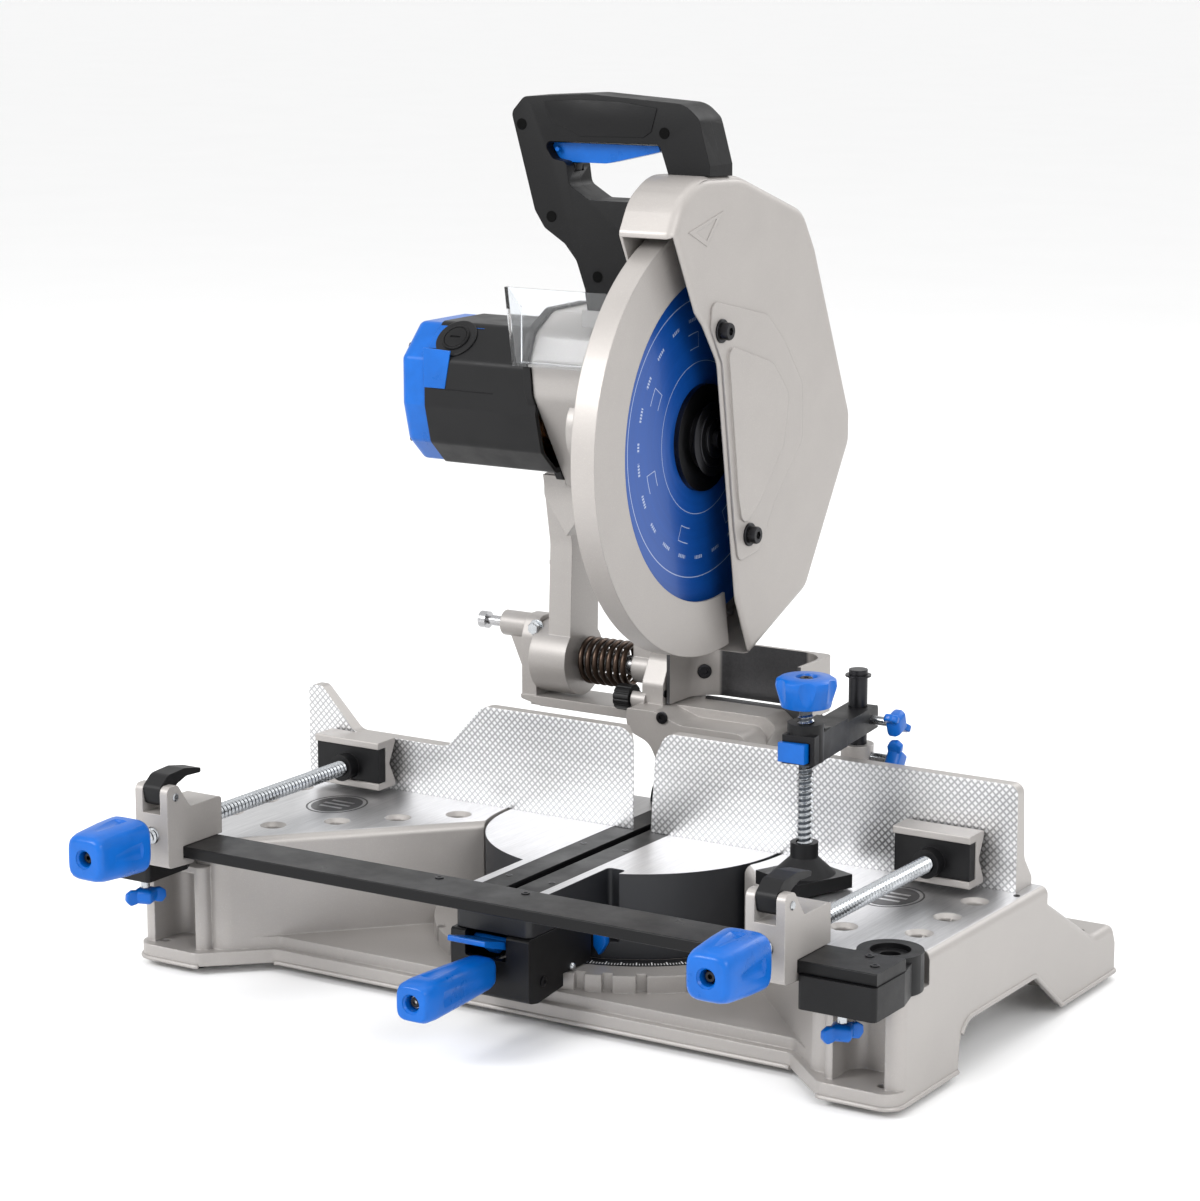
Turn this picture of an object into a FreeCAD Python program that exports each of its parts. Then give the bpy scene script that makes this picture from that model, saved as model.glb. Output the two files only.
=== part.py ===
"""Bench-top mitre saw with a 355 mm blade, built as an assembly of separate pieces.

X runs along the fence to the right, Y runs back from the fence face, Z is up.  The pieces are
drawn with the mitre pivot, the fence face and the saw cut meeting over the zero point on the
floor, and are saved FENCE_BACK further back, so the finished origin is under the middle of the
saw's overall box.  Sizes are in millimetres.
"""
import FreeCAD, Part
import math
import os

V = FreeCAD.Vector

# ---------------------------------------------------------------- driving dimensions
RUN = 0.35                 # gap left round anything that moves
SLIP = 0.05                # radial clearance of a shaft or screw in its bore
FENCE_BACK = 36.5          # fence face behind the middle of the overall box
TABLE_Z = 119.0            # height of the table over the floor
BASE_HALF = 371.0          # half the width of the base casting
FOOT_H = 8.0               # rubber feet
TABLE_FRONT = -218.0       # front edge of the side tables
TABLE_BACK = 32.0          # back edge of the side tables
FOOT_FRONT = -237.6        # front edge of the front feet
FOOT_WIDTH = 66.5          # width of a foot along X
FOOT_BACK = 179.0          # back end of the rear feet
SKIRT_Y = -190.4           # front edge of the base between the feet
SKIRT_HALF = 254.0         # half the length of that edge
APRON_Z = 30.0             # top of the low part of the base
WALL = 6.0                 # casting wall
LEDGE_Z = 94.0             # ledge that the rail brackets sit on
TURN_R = 135.0             # turntable
RING_GAP = 5.0             # between turntable and side tables
SCALE_Z = 45.0             # top of the mitre scale ring
DETENT_R = 180.0           # outside of the detent ring
DETENTS = (0.0, 15.0, 22.5, 31.6, 45.0)
ARM_HALF = 37.0            # half width of the turntable arm
ARM_FRONT = -232.0
KERF_HALF = 27.7           # half width of the two kerf inserts together
KERF_SLOT = 10.0
KERF_FRONT = -214.0
KERF_BACK = 78.0
FENCE_TOP = 209.0
FENCE_HALF = 357.0
FENCE_T = 11.0             # fence thickness at its top
FENCE_FOOT = 30.0          # depth of the fence's foot
VALLEY_Z = 167.0           # low stretch of the left fence
RAIL_FRONT = -284.0
RAIL_BACK = -237.0
RAIL_T = 10.0
RAIL_HALF = 378.0
VICE_X = 294.0             # both vices, left and right of the middle
VICE_Z = 143.0             # vice screw height
SCREW_R = 7.0
POST_X, POST_Y, POST_R = 189.0, 40.0, 8.0
CLAMP_X, CLAMP_Y = 203.0, -77.0
BLADE_R = 177.5
BLADE_T = 2.4
BORE_R = 12.7
ARBOR_Y, ARBOR_Z = 97.5, 451.5
GUARD_R = 192.0            # outside of the lower guard
GUARD_IN = 143.5
GUARD_HALF = 11.5
SHELL = 2.5                # guard sheet
COVER_L, COVER_R = -21.0, 32.0
PIVOT_Y, PIVOT_Z = 170.0, 220.0
PIVOT_R = 9.0
MOTOR_Y, MOTOR_Z = 130.0, 470.0
CHOP = 62.0                # swing of the head from raised to fully down
MOTOR_L, MOTOR_R = -284.0, -150.0
HANDLE_Y0, HANDLE_Y1 = 60.0, 98.0
HUB_R = 44.0               # bevel hub
HUB_Y = 99.0
BEVEL_SHAFT_R = 12.0
RAIL_Z = TABLE_Z + 2.0     # underside of the rail
BOSS_X, BOSS_Y, BOSS_R = 349.0, -206.0, 27.0
LUG_BOLT_R = 4.5
FOOT_LUGS = ((352.0, -220.0), (352.0, 140.0))


# ---------------------------------------------------------------- geometry helpers
def box(x0, y0, z0, x1, y1, z1):
    return Part.makeBox(x1 - x0, y1 - y0, z1 - z0, V(x0, y0, z0))


def rod(axis, start, r, length):
    """A cylinder from the point start along +X, +Y or +Z."""
    way = {"x": V(1, 0, 0), "y": V(0, 1, 0), "z": V(0, 0, 1)}[axis]
    return Part.makeCylinder(r, length, V(*start), way)


def tube(axis, start, r_out, r_in, length):
    return rod(axis, start, r_out, length).cut(rod(axis, start, r_in, length))


def turns(points, k):
    """True where the outline changes direction at point k."""
    (au, av), (u, v), (bu, bv) = [points[i % len(points)][:2] for i in (k - 1, k, k + 1)]
    return abs((u - au) * (bv - v) - (v - av) * (bu - u)) > 1e-3


def outline(points, place):
    """A closed wire through 2-D points (u, v) or (u, v, corner radius); place maps (u, v) to 3-D."""
    n = len(points)
    pts = [(p[0], p[1], p[2] if len(p) > 2 and turns(points, k) else 0.0) for k, p in enumerate(points)]
    edges = []
    last = None
    first = None
    for i in range(n):
        u, v, r = pts[i]
        if r <= 0:
            a = b = place(u, v)
            arc = None
        else:
            pu, pv, _ = pts[i - 1]
            nu, nv, _ = pts[(i + 1) % n]
            d1 = (pu - u, pv - v)
            d2 = (nu - u, nv - v)
            l1, l2 = math.hypot(*d1), math.hypot(*d2)
            d1 = (d1[0] / l1, d1[1] / l1)
            d2 = (d2[0] / l2, d2[1] / l2)
            half = math.acos(max(-1.0, min(1.0, d1[0] * d2[0] + d1[1] * d2[1]))) / 2
            t = min(r / math.tan(half), 0.48 * l1, 0.48 * l2)
            r = t * math.tan(half)
            a2 = (u + d1[0] * t, v + d1[1] * t)
            b2 = (u + d2[0] * t, v + d2[1] * t)
            mid = (d1[0] + d2[0], d1[1] + d2[1])
            lm = math.hypot(*mid)
            reach = r / math.sin(half) - r
            m2 = (u + mid[0] / lm * reach, v + mid[1] / lm * reach)
            a, b = place(*a2), place(*b2)
            arc = Part.Arc(a, place(*m2), b).toShape()
        if first is None:
            first = a
        if last is not None:
            edges.append(Part.makeLine(last, a))
        if arc is not None:
            edges.append(arc)
        last = b
    edges.append(Part.makeLine(last, first))
    return Part.Wire(edges)


def prism_z(points, z0, z1):
    return Part.Face(outline(points, lambda u, v: V(u, v, z0))).extrude(V(0, 0, z1 - z0))


def prism_x(points, x0, x1):
    """Outline in Y and Z, drawn out along X."""
    return Part.Face(outline(points, lambda u, v: V(x0, u, v))).extrude(V(x1 - x0, 0, 0))


def prism_y(points, y0, y1):
    """Outline in X and Z, drawn out along Y."""
    return Part.Face(outline(points, lambda u, v: V(u, y0, v))).extrude(V(0, y1 - y0, 0))


def fuse(*shapes):
    whole = shapes[0]
    for other in shapes[1:]:
        whole = whole.fuse(other)
    return whole.removeSplitter()


def cut(shape, *tools):
    for tool in tools:
        shape = shape.cut(tool)
    return shape


def mirror_x(shape):
    return shape.mirror(V(0, 0, 0), V(1, 0, 0))


def both(shape):
    return Part.makeCompound([shape, mirror_x(shape)])


def round_edges(shape, radius, wanted):
    edges = [e for e in shape.Edges if wanted(e)]
    return shape.makeFillet(radius, edges)


def along(edge, way):
    """True for a straight edge that runs along the given direction."""
    if len(edge.Vertexes) != 2 or edge.Curve.TypeId != "Part::GeomLine":
        return False
    d = edge.Vertexes[1].Point.sub(edge.Vertexes[0].Point)
    return abs(abs(d.dot(way)) / d.Length - 1) < 1e-6


def save(name, shape):
    solids = shape.Solids
    solid = solids[0] if len(solids) == 1 else Part.makeCompound(solids)
    solid.translate(V(0, FENCE_BACK, 0))
    solid.exportStep("parts/%s.step" % name)


# ---------------------------------------------------------------- base
def side_table():
    """Right table block with its front corner ledge, bracket pocket, side arch and rear leg."""
    inner = 100.0
    block = prism_z([(inner, TABLE_BACK), (inner, -15), (290, TABLE_FRONT, 18), (BASE_HALF, TABLE_FRONT, 10),
                     (BASE_HALF, TABLE_BACK)], FOOT_H, TABLE_Z)
    column = prism_z([(302, -150), (302, -228, 8), (BASE_HALF, -228, 10), (BASE_HALF, -150)],
                     FOOT_H, LEDGE_Z)
    block = block.fuse(column)
    leg = prism_x([(0, 112), (30, 108, 10), (132, 50, 14), (172, 50, 8), (FOOT_BACK, 34, 6),
                   (FOOT_BACK, FOOT_H), (0, FOOT_H)], BASE_HALF - FOOT_WIDTH, BASE_HALF)
    block = block.fuse(leg).removeSplitter()
    block = round_edges(block, 7.0, lambda e: e.CenterOfMass.x > BASE_HALF - 0.01
                        and e.CenterOfMass.z > 40 and e.BoundBox.XLength < 0.01
                        and not along(e, V(0, 0, 1)) and e.CenterOfMass.z != LEDGE_Z)
    pocket = fuse(rod("z", (BOSS_X, BOSS_Y, LEDGE_Z), BOSS_R + 5, 60),
                  box(BOSS_X - BOSS_R - 5, -260, LEDGE_Z, 400, BOSS_Y, 160))
    recess = prism_z([(312, -260), (312, -192, 12), (357, -192, 12), (357, -260)],
                     FOOT_LUG_Z, LEDGE_Z - 6)
    return cut(block, pocket, recess)


FOOT_LUG_Z = 20.0


def side_hollow():
    """Space inside the table block, open underneath."""
    deep = prism_z([(150, TABLE_BACK - WALL), (150, -52), (292, TABLE_FRONT + 22),
                    (304, TABLE_FRONT + 22), (312, -184), (BASE_HALF - WALL, -150),
                    (BASE_HALF - WALL, TABLE_BACK - WALL)], -1, TABLE_Z - WALL)
    leg = prism_x([(20, 96), (100, 60 - WALL), (100, -1), (20, -1)],
                  BASE_HALF - FOOT_WIDTH + WALL, BASE_HALF - WALL)
    return fuse(deep, leg)


def side_arch():
    return prism_x([(-131, -1), (-125, 48, 22), (12, 48, 10), (66, FOOT_H, 4), (66, -1)],
                   BASE_HALF - FOOT_WIDTH - 4, BASE_HALF + 2)


def apron():
    """Low middle of the casting, with the flared lip round its lower edge."""
    inset = 7.0

    def plan(d):
        half = [(BASE_HALF - d, FOOT_FRONT + d, 16), (BASE_HALF - FOOT_WIDTH + d / 2, FOOT_FRONT + d, 12),
                (SKIRT_HALF, SKIRT_Y + d, 12)]
        back = [(BASE_HALF - d, -118), (BASE_HALF - FOOT_WIDTH - 10, -118), (BASE_HALF - FOOT_WIDTH - 10, 40, 20),
                (150, 92 - d, 30)]
        left = [(-p[0],) + tuple(p[1:]) for p in half]
        left_back = [(-p[0],) + tuple(p[1:]) for p in back]
        return half + left[::-1] + left_back + back[::-1]
    lip = prism_z(plan(0), FOOT_H, FOOT_LUG_Z)
    upper = prism_z(plan(inset), FOOT_LUG_Z, APRON_Z)
    tips = fuse(box(SKIRT_HALF + 38, -260, FOOT_LUG_Z, 400, -192, 60),
                box(-400, -260, FOOT_LUG_Z, -SKIRT_HALF - 38, -192, 60))
    return lip.fuse(upper.cut(tips)).removeSplitter()


def detent_ring():
    """Scale ring round the turntable with the notches that the mitre detent drops into."""
    ring = rod("z", (0, 0, APRON_Z - 4), DETENT_R, SCALE_Z - APRON_Z + 4)
    ring = ring.common(box(-200, -200, 0, 200, 40, 100))
    for side in (-1, 1):
        for deg in DETENTS:
            if deg == 0 and side < 0:
                continue
            notch = box(-4.5, -DETENT_R - 2, APRON_Z, 4.5, -DETENT_R + 7, SCALE_Z + 1)
            notch.rotate(V(0, 0, 0), V(0, 0, 1), side * deg)
            ring = ring.cut(notch)
    return ring


def table_holes():
    """Countersunk clamp holes in the side tables."""
    spots = [(164.4, -39.9), (203.5, -77.0), (242.0, -115.0), (281.5, -155.0),
             (339.0, -38.3), (339.5, -89.0), (340.0, -139.5)]
    drills = []
    for x, y in spots:
        drill = fuse(rod("z", (x, y, TABLE_Z - 30), HOLE_R, 40),
                     Part.makeCone(HOLE_R, HOLE_R + 4, 3.2, V(x, y, TABLE_Z - 3.19)))
        drills += [drill, mirror_x(drill)]
    return drills


HOLE_R = 7.5


def base_casting():
    table = side_table()
    base = fuse(apron(), detent_ring(), table, mirror_x(table))
    hollow = side_hollow()
    arch = side_arch()
    turn_well = rod("z", (0, 0, SCALE_Z), TURN_R + RING_GAP, 100)
    rear_swing = rod("z", (0, 0, SCALE_Z + 20), 158, 100).common(box(-170, 26, 0, 170, 170, 200))
    under = prism_z([(-230, SKIRT_Y + 14), (230, SKIRT_Y + 14), (130, 60), (-130, 60)], -1, APRON_Z - WALL)
    base = cut(base, hollow, mirror_x(hollow), arch, mirror_x(arch), turn_well, rear_swing,
               under.cut(rod("z", (0, 0, -1), 28, 60)), rod("z", (0, 0, 0), PIVOT_BOLT_R + SLIP, 80), rod("z", (0, 0, -1), 13, 15.4))
    for x, y in FOOT_LUGS:
        for s in (-1, 1):
            base = base.cut(rod("z", (s * x, y, 0), LUG_BOLT_R, 70))
    base = cut(base, *table_holes())
    bolt_hole = rod("z", (BOSS_X, BOSS_Y, 60), 5.0, 60)
    return cut(base, bolt_hole, mirror_x(bolt_hole))


PIVOT_BOLT_R = 8.0
RUBBER_SPOTS = ((BASE_HALF - 47, FOOT_FRONT + 26), (BASE_HALF - 46, FOOT_BACK - 42))


def rubber_feet():
    feet = []
    for x, y in RUBBER_SPOTS:
        for s in (-1, 1):
            feet.append(Part.makeCone(10.5, 12.5, FOOT_H, V(s * x, y, 0)))
    return Part.makeCompound(feet)


# ---------------------------------------------------------------- fence
def fence_profile(x0, x1):
    return prism_x([(0, TABLE_Z), (FENCE_FOOT, TABLE_Z), (FENCE_FOOT, TABLE_Z + 7, 3), (15, TABLE_Z + 26, 12),
                    (FENCE_T, FENCE_TOP + 4), (0, FENCE_TOP + 4)], x0, x1)


def post_socket(x, top):
    """Boss behind the fence that takes the hold-down post."""
    boss = rod("z", (x, POST_Y, TABLE_Z + 2), POST_R + 6, top - TABLE_Z - 2)
    web = box(x - 7, FENCE_T - 1, TABLE_Z + 2, x + 7, POST_Y - POST_R - 1, min(top, FENCE_TOP) - 12)
    return boss, web, rod("z", (x, POST_Y, TABLE_Z + 8), POST_R + SLIP, top)


LEFT_SOCKET_TOP = 158.0
RIGHT_SOCKET_TOP = 214.0
POST_KNOB_Z = 204.0


def fence_left():
    """The inner end is relieved at the back, so the blade clears it at full mitre."""
    face = prism_y([(-FENCE_HALF, TABLE_Z), (-FENCE_HALF, FENCE_TOP - 3, 7), (-342, FENCE_TOP - 3, 7),
                    (-306, VALLEY_Z, 12), (-203, VALLEY_Z, 14), (-165, FENCE_TOP, 16), (-7.3, FENCE_TOP, 16),
                    (-7.3, TABLE_Z)], -1, FENCE_FOOT + 1)
    fence = fence_profile(-FENCE_HALF, -7.3).common(face)
    fence = fence.cut(prism_z([(-7.3, 0), (-7.3 - FENCE_FOOT - 2, FENCE_FOOT + 2), (0, FENCE_FOOT + 2), (0, 0)],
                              TABLE_Z - 1, FENCE_TOP + 9))
    boss, web, bore = post_socket(-POST_X, LEFT_SOCKET_TOP)
    return fuse(fence, boss, web).cut(bore)


def fence_right():
    face = prism_y([(9.8, TABLE_Z), (14, FENCE_TOP - 22, 30), (25, FENCE_TOP, 14), (FENCE_HALF, FENCE_TOP, 8),
                    (FENCE_HALF, TABLE_Z)], -1, FENCE_FOOT + 1)
    fence = fence_profile(9.8, FENCE_HALF).common(face)
    fence = fence.cut(prism_z([(8, 0), (8 + FENCE_FOOT + 2, FENCE_FOOT + 2), (0, FENCE_FOOT + 2), (0, 0)],
                              TABLE_Z - 1, FENCE_TOP + 9))
    boss, web, bore = post_socket(POST_X, RIGHT_SOCKET_TOP)
    stud = rod("x", (POST_X, POST_Y, POST_KNOB_Z), KNOB_STUD_R + SLIP, 40)
    return fuse(fence, boss, web).cut(bore).cut(stud)


# ---------------------------------------------------------------- rail
def front_rail():
    rail = prism_x([(RAIL_FRONT, RAIL_Z, 1), (RAIL_FRONT, RAIL_Z + RAIL_T, 1), (RAIL_BACK, RAIL_Z + RAIL_T, 1),
                    (RAIL_BACK, RAIL_Z, 1)], -RAIL_HALF, RAIL_HALF)
    return rail


def rail_brackets():
    """Black end brackets: a plate under the rail and a round boss bolted to the corner ledge."""
    plate = prism_z([(312.6, -288, 4), (BASE_HALF + 8, -288, 4), (BASE_HALF + 8, -240, 6), (BOSS_X + 22, BOSS_Y - 4),
                     (BOSS_X - 22, BOSS_Y - 6), (312.6, -236, 4)], LEDGE_Z + RUN, RAIL_Z)
    boss = rod("z", (BOSS_X, BOSS_Y, LEDGE_Z + RUN), BOSS_R - 1, RAIL_Z - LEDGE_Z + 4)
    bracket = plate.fuse(boss).removeSplitter()
    bracket = cut(bracket, rod("z", (BOSS_X, BOSS_Y, 90), 8.5, 60), rod("z", (BOSS_X, BOSS_Y, RAIL_Z), 16, 60),
                  rod("z", (WING_X, WING_Y, 80), KNOB_STUD_R + SLIP, 34))
    return both(bracket)


WING_X, WING_Y = 338.0, -262.0
KNOB_STUD_R = 4.0


def wing_knob(r, thick):
    """Four-lobed knob, axis +Z, sitting on z = 0 and growing down, with a stud going up."""
    body = rod("z", (0, 0, -thick), r * 0.62, thick)
    for k in range(4):
        lobe = rod("z", (r * 0.66, 0, -thick), r * 0.34, thick)
        lobe.rotate(V(0, 0, 0), V(0, 0, 1), 45 + 90 * k)
        body = body.fuse(lobe)
    return body.removeSplitter()


def rail_wing(side):
    knob = wing_knob(19, 15)
    stem = rod("z", (0, 0, -2), 7, 8)
    stud = rod("z", (0, 0, 0), KNOB_STUD_R, 32)
    piece = fuse(knob, stem, stud)
    piece.translate(V(side * WING_X, WING_Y, LEDGE_Z - 12))
    return piece


# ---------------------------------------------------------------- turntable
def turntable():
    disc = rod("z", (0, 0, SCALE_Z + RUN), TURN_R, TABLE_Z - SCALE_Z - RUN)
    arm = prism_z([(-ARM_HALF, -60), (-ARM_HALF, ARM_FRONT, 6), (ARM_HALF, ARM_FRONT, 6), (ARM_HALF, -60)],
                  88, TABLE_Z)
    top = disc.fuse(arm)
    notch = prism_z([(ARM_HALF, -150), (ARM_HALF, -112, 4), (54, -112, 4), (54, -150)], 60, TABLE_Z + 1)
    trough = box(-20, KERF_FRONT + 8, 72, 20, HUB_Y - 12, TABLE_Z + 1)
    seat = box(-KERF_HALF - RUN, KERF_FRONT, TABLE_Z - 4, KERF_HALF + RUN, HUB_Y + 40, TABLE_Z + 1)
    hub_space = box(-TURN_R, HUB_Y, HUB_Z - HUB_R - 6, TURN_R, TURN_R + 2, TABLE_Z + 1)
    under = prism_z([(-110, -60), (-24, -118), (24, -118), (110, -60), (110, 40), (60, 84), (-60, 84), (-110, 40)],
                    SCALE_Z - 1, 64)
    arm_under = box(-28, ARM_FRONT + 8, 87, 28, -136, 104)
    pivot = rod("z", (0, 0, SCALE_Z), 26, 60 - SCALE_Z)
    solid = cut(top, notch, trough, seat, hub_space, under, arm_under)
    solid = solid.fuse(pivot.cut(rod("z", (0, 0, 0), 1, 1)))
    hub_seat = rod("y", (0, HUB_Y - 11, HUB_Z), HUB_R, 11)
    solid = solid.fuse(hub_seat)
    tools = [rod("z", (0, 0, 30), PIVOT_BOLT_R + SLIP, 26), rod("y", (0, HUB_Y - 12, HUB_Z), BEVEL_SHAFT_R, 60)]
    return cut(solid, *tools).removeSplitter()


HUB_Z = TABLE_Z


def kerf_inserts():
    """Two black strips either side of the saw cut."""
    strips = []
    for s in (-1, 1):
        x0, x1 = sorted((s * KERF_SLOT / 2, s * KERF_HALF))
        strips.append(box(x0, KERF_FRONT + RUN, TABLE_Z - 4, x1, KERF_BACK, TABLE_Z - 0.2))
    return Part.makeCompound(strips)


def pivot_bolt():
    return fuse(rod("z", (0, 0, 14), PIVOT_BOLT_R, 40), rod("z", (0, 0, FOOT_H - 2), 12.5, 8.4))


def arm_housing():
    """Black box under the arm that carries the mitre lock and the detent."""
    half = ARM_HALF + 1
    shell = prism_x([(-236, 87.6, 3), (-236, 34, 5), (-222, 31.5, 3), (-184.5, 36), (-184.5, 46.5),
                     (-142, 46.5, 3), (-142, 87.6)], -half, half)
    hollow = prism_x([(-230, 90), (-230, 40), (-190, 52), (-146, 52), (-146, 90)], -half + 4, half - 4)
    window = prism_y([(-24, 66, 2), (-24, 90), (16, 90), (16, 66, 2)], -240, -225)
    bore = rod("y", (0, -240, GRIP_Z), LOCK_ROD_R + 0.3, 120)
    return cut(shell, hollow, window, bore)


GRIP_Z = 59.0
LOCK_ROD_R = 6.0
GRIP_FRONT = -348.0
GRIP_BACK = -243.0


def mitre_grip():
    """Tapered handle with rounded-square section, widest at its free end."""
    def section(y, half):
        pts = [(-half, GRIP_Z - half, half * 0.55), (-half, GRIP_Z + half, half * 0.55),
               (half, GRIP_Z + half, half * 0.55), (half, GRIP_Z - half, half * 0.55)]
        return outline(pts, lambda u, v: V(u, y, v))
    body = Part.makeLoft([section(GRIP_FRONT, 15.5), section(GRIP_FRONT + 12, 17.5), section(GRIP_BACK, 13)],
                         True, True)
    body = body.cut(rod("y", (0, GRIP_FRONT - 1, GRIP_Z), 7.5, 14))
    return body.cut(rod("y", (0, GRIP_FRONT + 5, GRIP_Z), LOCK_ROD_R, 140))


def mitre_lock_rod():
    rod_ = rod("y", (0, GRIP_FRONT + 13, GRIP_Z), LOCK_ROD_R, -DETENT_R - 3 - GRIP_FRONT - 13)
    return rod_.fuse(rod("y", (0, GRIP_FRONT + 8, GRIP_Z), 5, 5))


def mitre_paddle():
    """Blue thumb paddle over the grip with the tongue that leaves the detent notch."""
    plate = prism_x([(-264, 91, 1.5), (-264, 86, 1.5), (-226, 73), (-222, 79)], -22, 14)
    tongue = prism_x([(-232, 78), (-221, 76), (-219, 70), (-224, 68), (-232, 74)], -8, 2)
    hinge = rod("x", (-22, PADDLE_Y, PADDLE_Z), 4, 36)
    body = fuse(plate, hinge, tongue)
    return body.cut(rod("x", (-30, PADDLE_Y, PADDLE_Z), 1.6, 60))


PADDLE_Y, PADDLE_Z = -223.0, 78.0


# ---------------------------------------------------------------- bevel yoke
YOKE_L0, YOKE_L1 = -222.0, -206.0       # left cheek
YOKE_R0, YOKE_R1 = -82.0, -60.0         # right cheek
YOKE_FLOOR = 175.0                      # underside of the yoke, which clears the low fence
PIN_Z = 245.0
NECK_Y0, NECK_Y1 = 112.0, 150.0


def yoke_casting():
    hub = rod("y", (0, HUB_Y + RUN, HUB_Z), HUB_R, NECK_Y1 - HUB_Y - RUN)
    neck = prism_y([(-40, 112), (-47, 140, 20), (-60, 166, 20), (-84, YOKE_FLOOR, 20), (-84, 195.5, 3), (-56, 195.5, 3),
                    (-28, 186, 20), (40, 186, 12), (44, 112)], NECK_Y0, NECK_Y1)
    back = prism_y([(-200, YOKE_FLOOR, 4), (-222, 180, 4), (-222, 184), (-84, 184), (-60, 195, 6), (40, 195, 6), (52, 186, 6), (44, YOKE_FLOOR),
                    (30, 150), (-30, 150), (-56, YOKE_FLOOR)], NECK_Y1 - 2, 194)
    bar = box(-212, 150, YOKE_FLOOR, -80, 192, 184)
    left = prism_x([(150, YOKE_FLOOR + 3, 5), (150, 204, 14), (150, 240, 10), (158, 258, 10), (184, 258, 12), (194, 228, 12),
                    (194, YOKE_FLOOR + 3, 5)], YOKE_L0, YOKE_L1)
    pin_boss = rod("x", (YOKE_L0 - 30, PIVOT_Y, PIN_Z), 12, 32)
    gusset = prism_y([(YOKE_L0 - 24, PIN_Z - 4), (YOKE_L0 + 1, PIN_Z - 4), (YOKE_L0 + 1, 184)],
                     PIVOT_Y - 6, PIVOT_Y + 6)
    right = prism_x([(136, YOKE_FLOOR + 4, 8), (136, 214, 10), (150, 240, 12), (186, 240, 12), (194, 226, 10),
                     (194, YOKE_FLOOR + 4, 4)], YOKE_R0, YOKE_R1)
    stop_boss = rod("x", (YOKE_R0 - 11, STOP_Y, STOP_Z), 9, 15)
    yoke = fuse(hub, neck, back, bar, left, pin_boss, gusset, right, stop_boss)
    hub_sweep = rod("x", (YOKE_L1 + 0.01, PIVOT_Y, PIVOT_Z), ARM_HUB_R + 1.5, YOKE_R0 - YOKE_L1 - 0.02)
    return cut(yoke, hub_sweep, rod("x", (YOKE_L0 - 1, PIVOT_Y, PIVOT_Z), PIVOT_R, 180),
               rod("x", (YOKE_L0 - 60, PIVOT_Y, PIN_Z), PIN_R + SLIP, 80),
               rod("y", (0, HUB_Y - 1, HUB_Z), BEVEL_SHAFT_R + SLIP, 120),
               rod("x", (YOKE_R0 - 60, STOP_Y, STOP_Z), 4 + SLIP, 72))


STOP_Y, STOP_Z = 142.0, 197.0
ARM_HUB_R = 34.0
PIN_R = 5.0


def bevel_shaft():
    return fuse(rod("y", (0, HUB_Y - 12, HUB_Z), BEVEL_SHAFT_R, 12 + 100),
                rod("y", (0, 196, HUB_Z), BEVEL_SHAFT_R + 5, 8))


def bevel_lever():
    """Lock lever on the back of the bevel shaft."""
    hub = tube("y", (0, 205, HUB_Z), 17, 7, 20)
    stem = prism_y([(8, HUB_Z - 5, 3), (120, HUB_Z + 18, 3), (118, HUB_Z + 32, 3), (8, HUB_Z + 12, 3)], 207, 223)
    return cut(fuse(hub, stem), rod("y", (0, 200, HUB_Z), 7, 30))


def torsion_spring():
    """Seven close turns round the pivot."""
    turns = [Part.makeTorus(SPRING_R, 3.0, V(SPRING_X0 + k * 8.6, PIVOT_Y, PIVOT_Z), V(1, 0, 0)) for k in range(7)]
    return Part.makeCompound(turns)


SPRING_R = 19.5
SPRING_X0 = -162.4


def depth_stop_knob():
    knob = rod("x", (YOKE_R0 - 28, STOP_Y, STOP_Z), 12, 16)
    for k in range(12):
        groove = rod("x", (YOKE_R0 - 29, STOP_Y, STOP_Z + 12.8), 1.5, 20)
        groove.rotate(V(0, STOP_Y, STOP_Z), V(1, 0, 0), 30 * k)
        knob = knob.cut(groove)
    return knob.fuse(rod("x", (YOKE_R0 - 32, STOP_Y, STOP_Z), 4, 42))


def chip_scoop():
    """U-shaped wall behind the blade that turns the chips aside, open towards the blade."""
    outer = prism_z([(SCOOP_X0, SCOOP_Y0), (SCOOP_X1, SCOOP_Y0), (SCOOP_X1, 201, 9), (SCOOP_X0, 201, 9)],
                    196.4, SCOOP_TOP)
    inner = prism_z([(SCOOP_X0 + 3.5, SCOOP_Y0 - 9), (SCOOP_X1 - 3.5, SCOOP_Y0 - 9), (SCOOP_X1 - 3.5, 196, 26),
                     (SCOOP_X0 + 3.5, 196, 26)], 190, 260)
    return outer.cut(inner)


SCOOP_X0, SCOOP_X1, SCOOP_TOP = -58.0, 80.0, 247.0
SCOOP_Y0 = 139.0


def lock_pin():
    shaft = rod("x", (YOKE_L0 - 46, PIVOT_Y, PIN_Z), PIN_R, 46 + 6)
    head = rod("x", (YOKE_L0 - 58, PIVOT_Y, PIN_Z), 8, 8)
    neck = rod("x", (YOKE_L0 - 51, PIVOT_Y, PIN_Z), 4, 6)
    return fuse(shaft, head, neck)


# ---------------------------------------------------------------- head
def pivot_shaft():
    return rod("x", (YOKE_L0 + 1, PIVOT_Y, PIVOT_Z), PIVOT_R, YOKE_R1 - YOKE_L0 - 2)


GEAR_L, GEAR_R = MOTOR_R, -26.0


def gear_outline(d):
    return [(58 + d, 512 - d, 10), (68 + d, 536 - d, 12), (96, 552 - d, 14), (156, 552 - d, 16), (190 - d, 528, 16),
            (197 - d, 470, 16), (193 - d, 396 + d, 10), (119, 388 + d, 12), (62 + d, 480, 20)]


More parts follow.
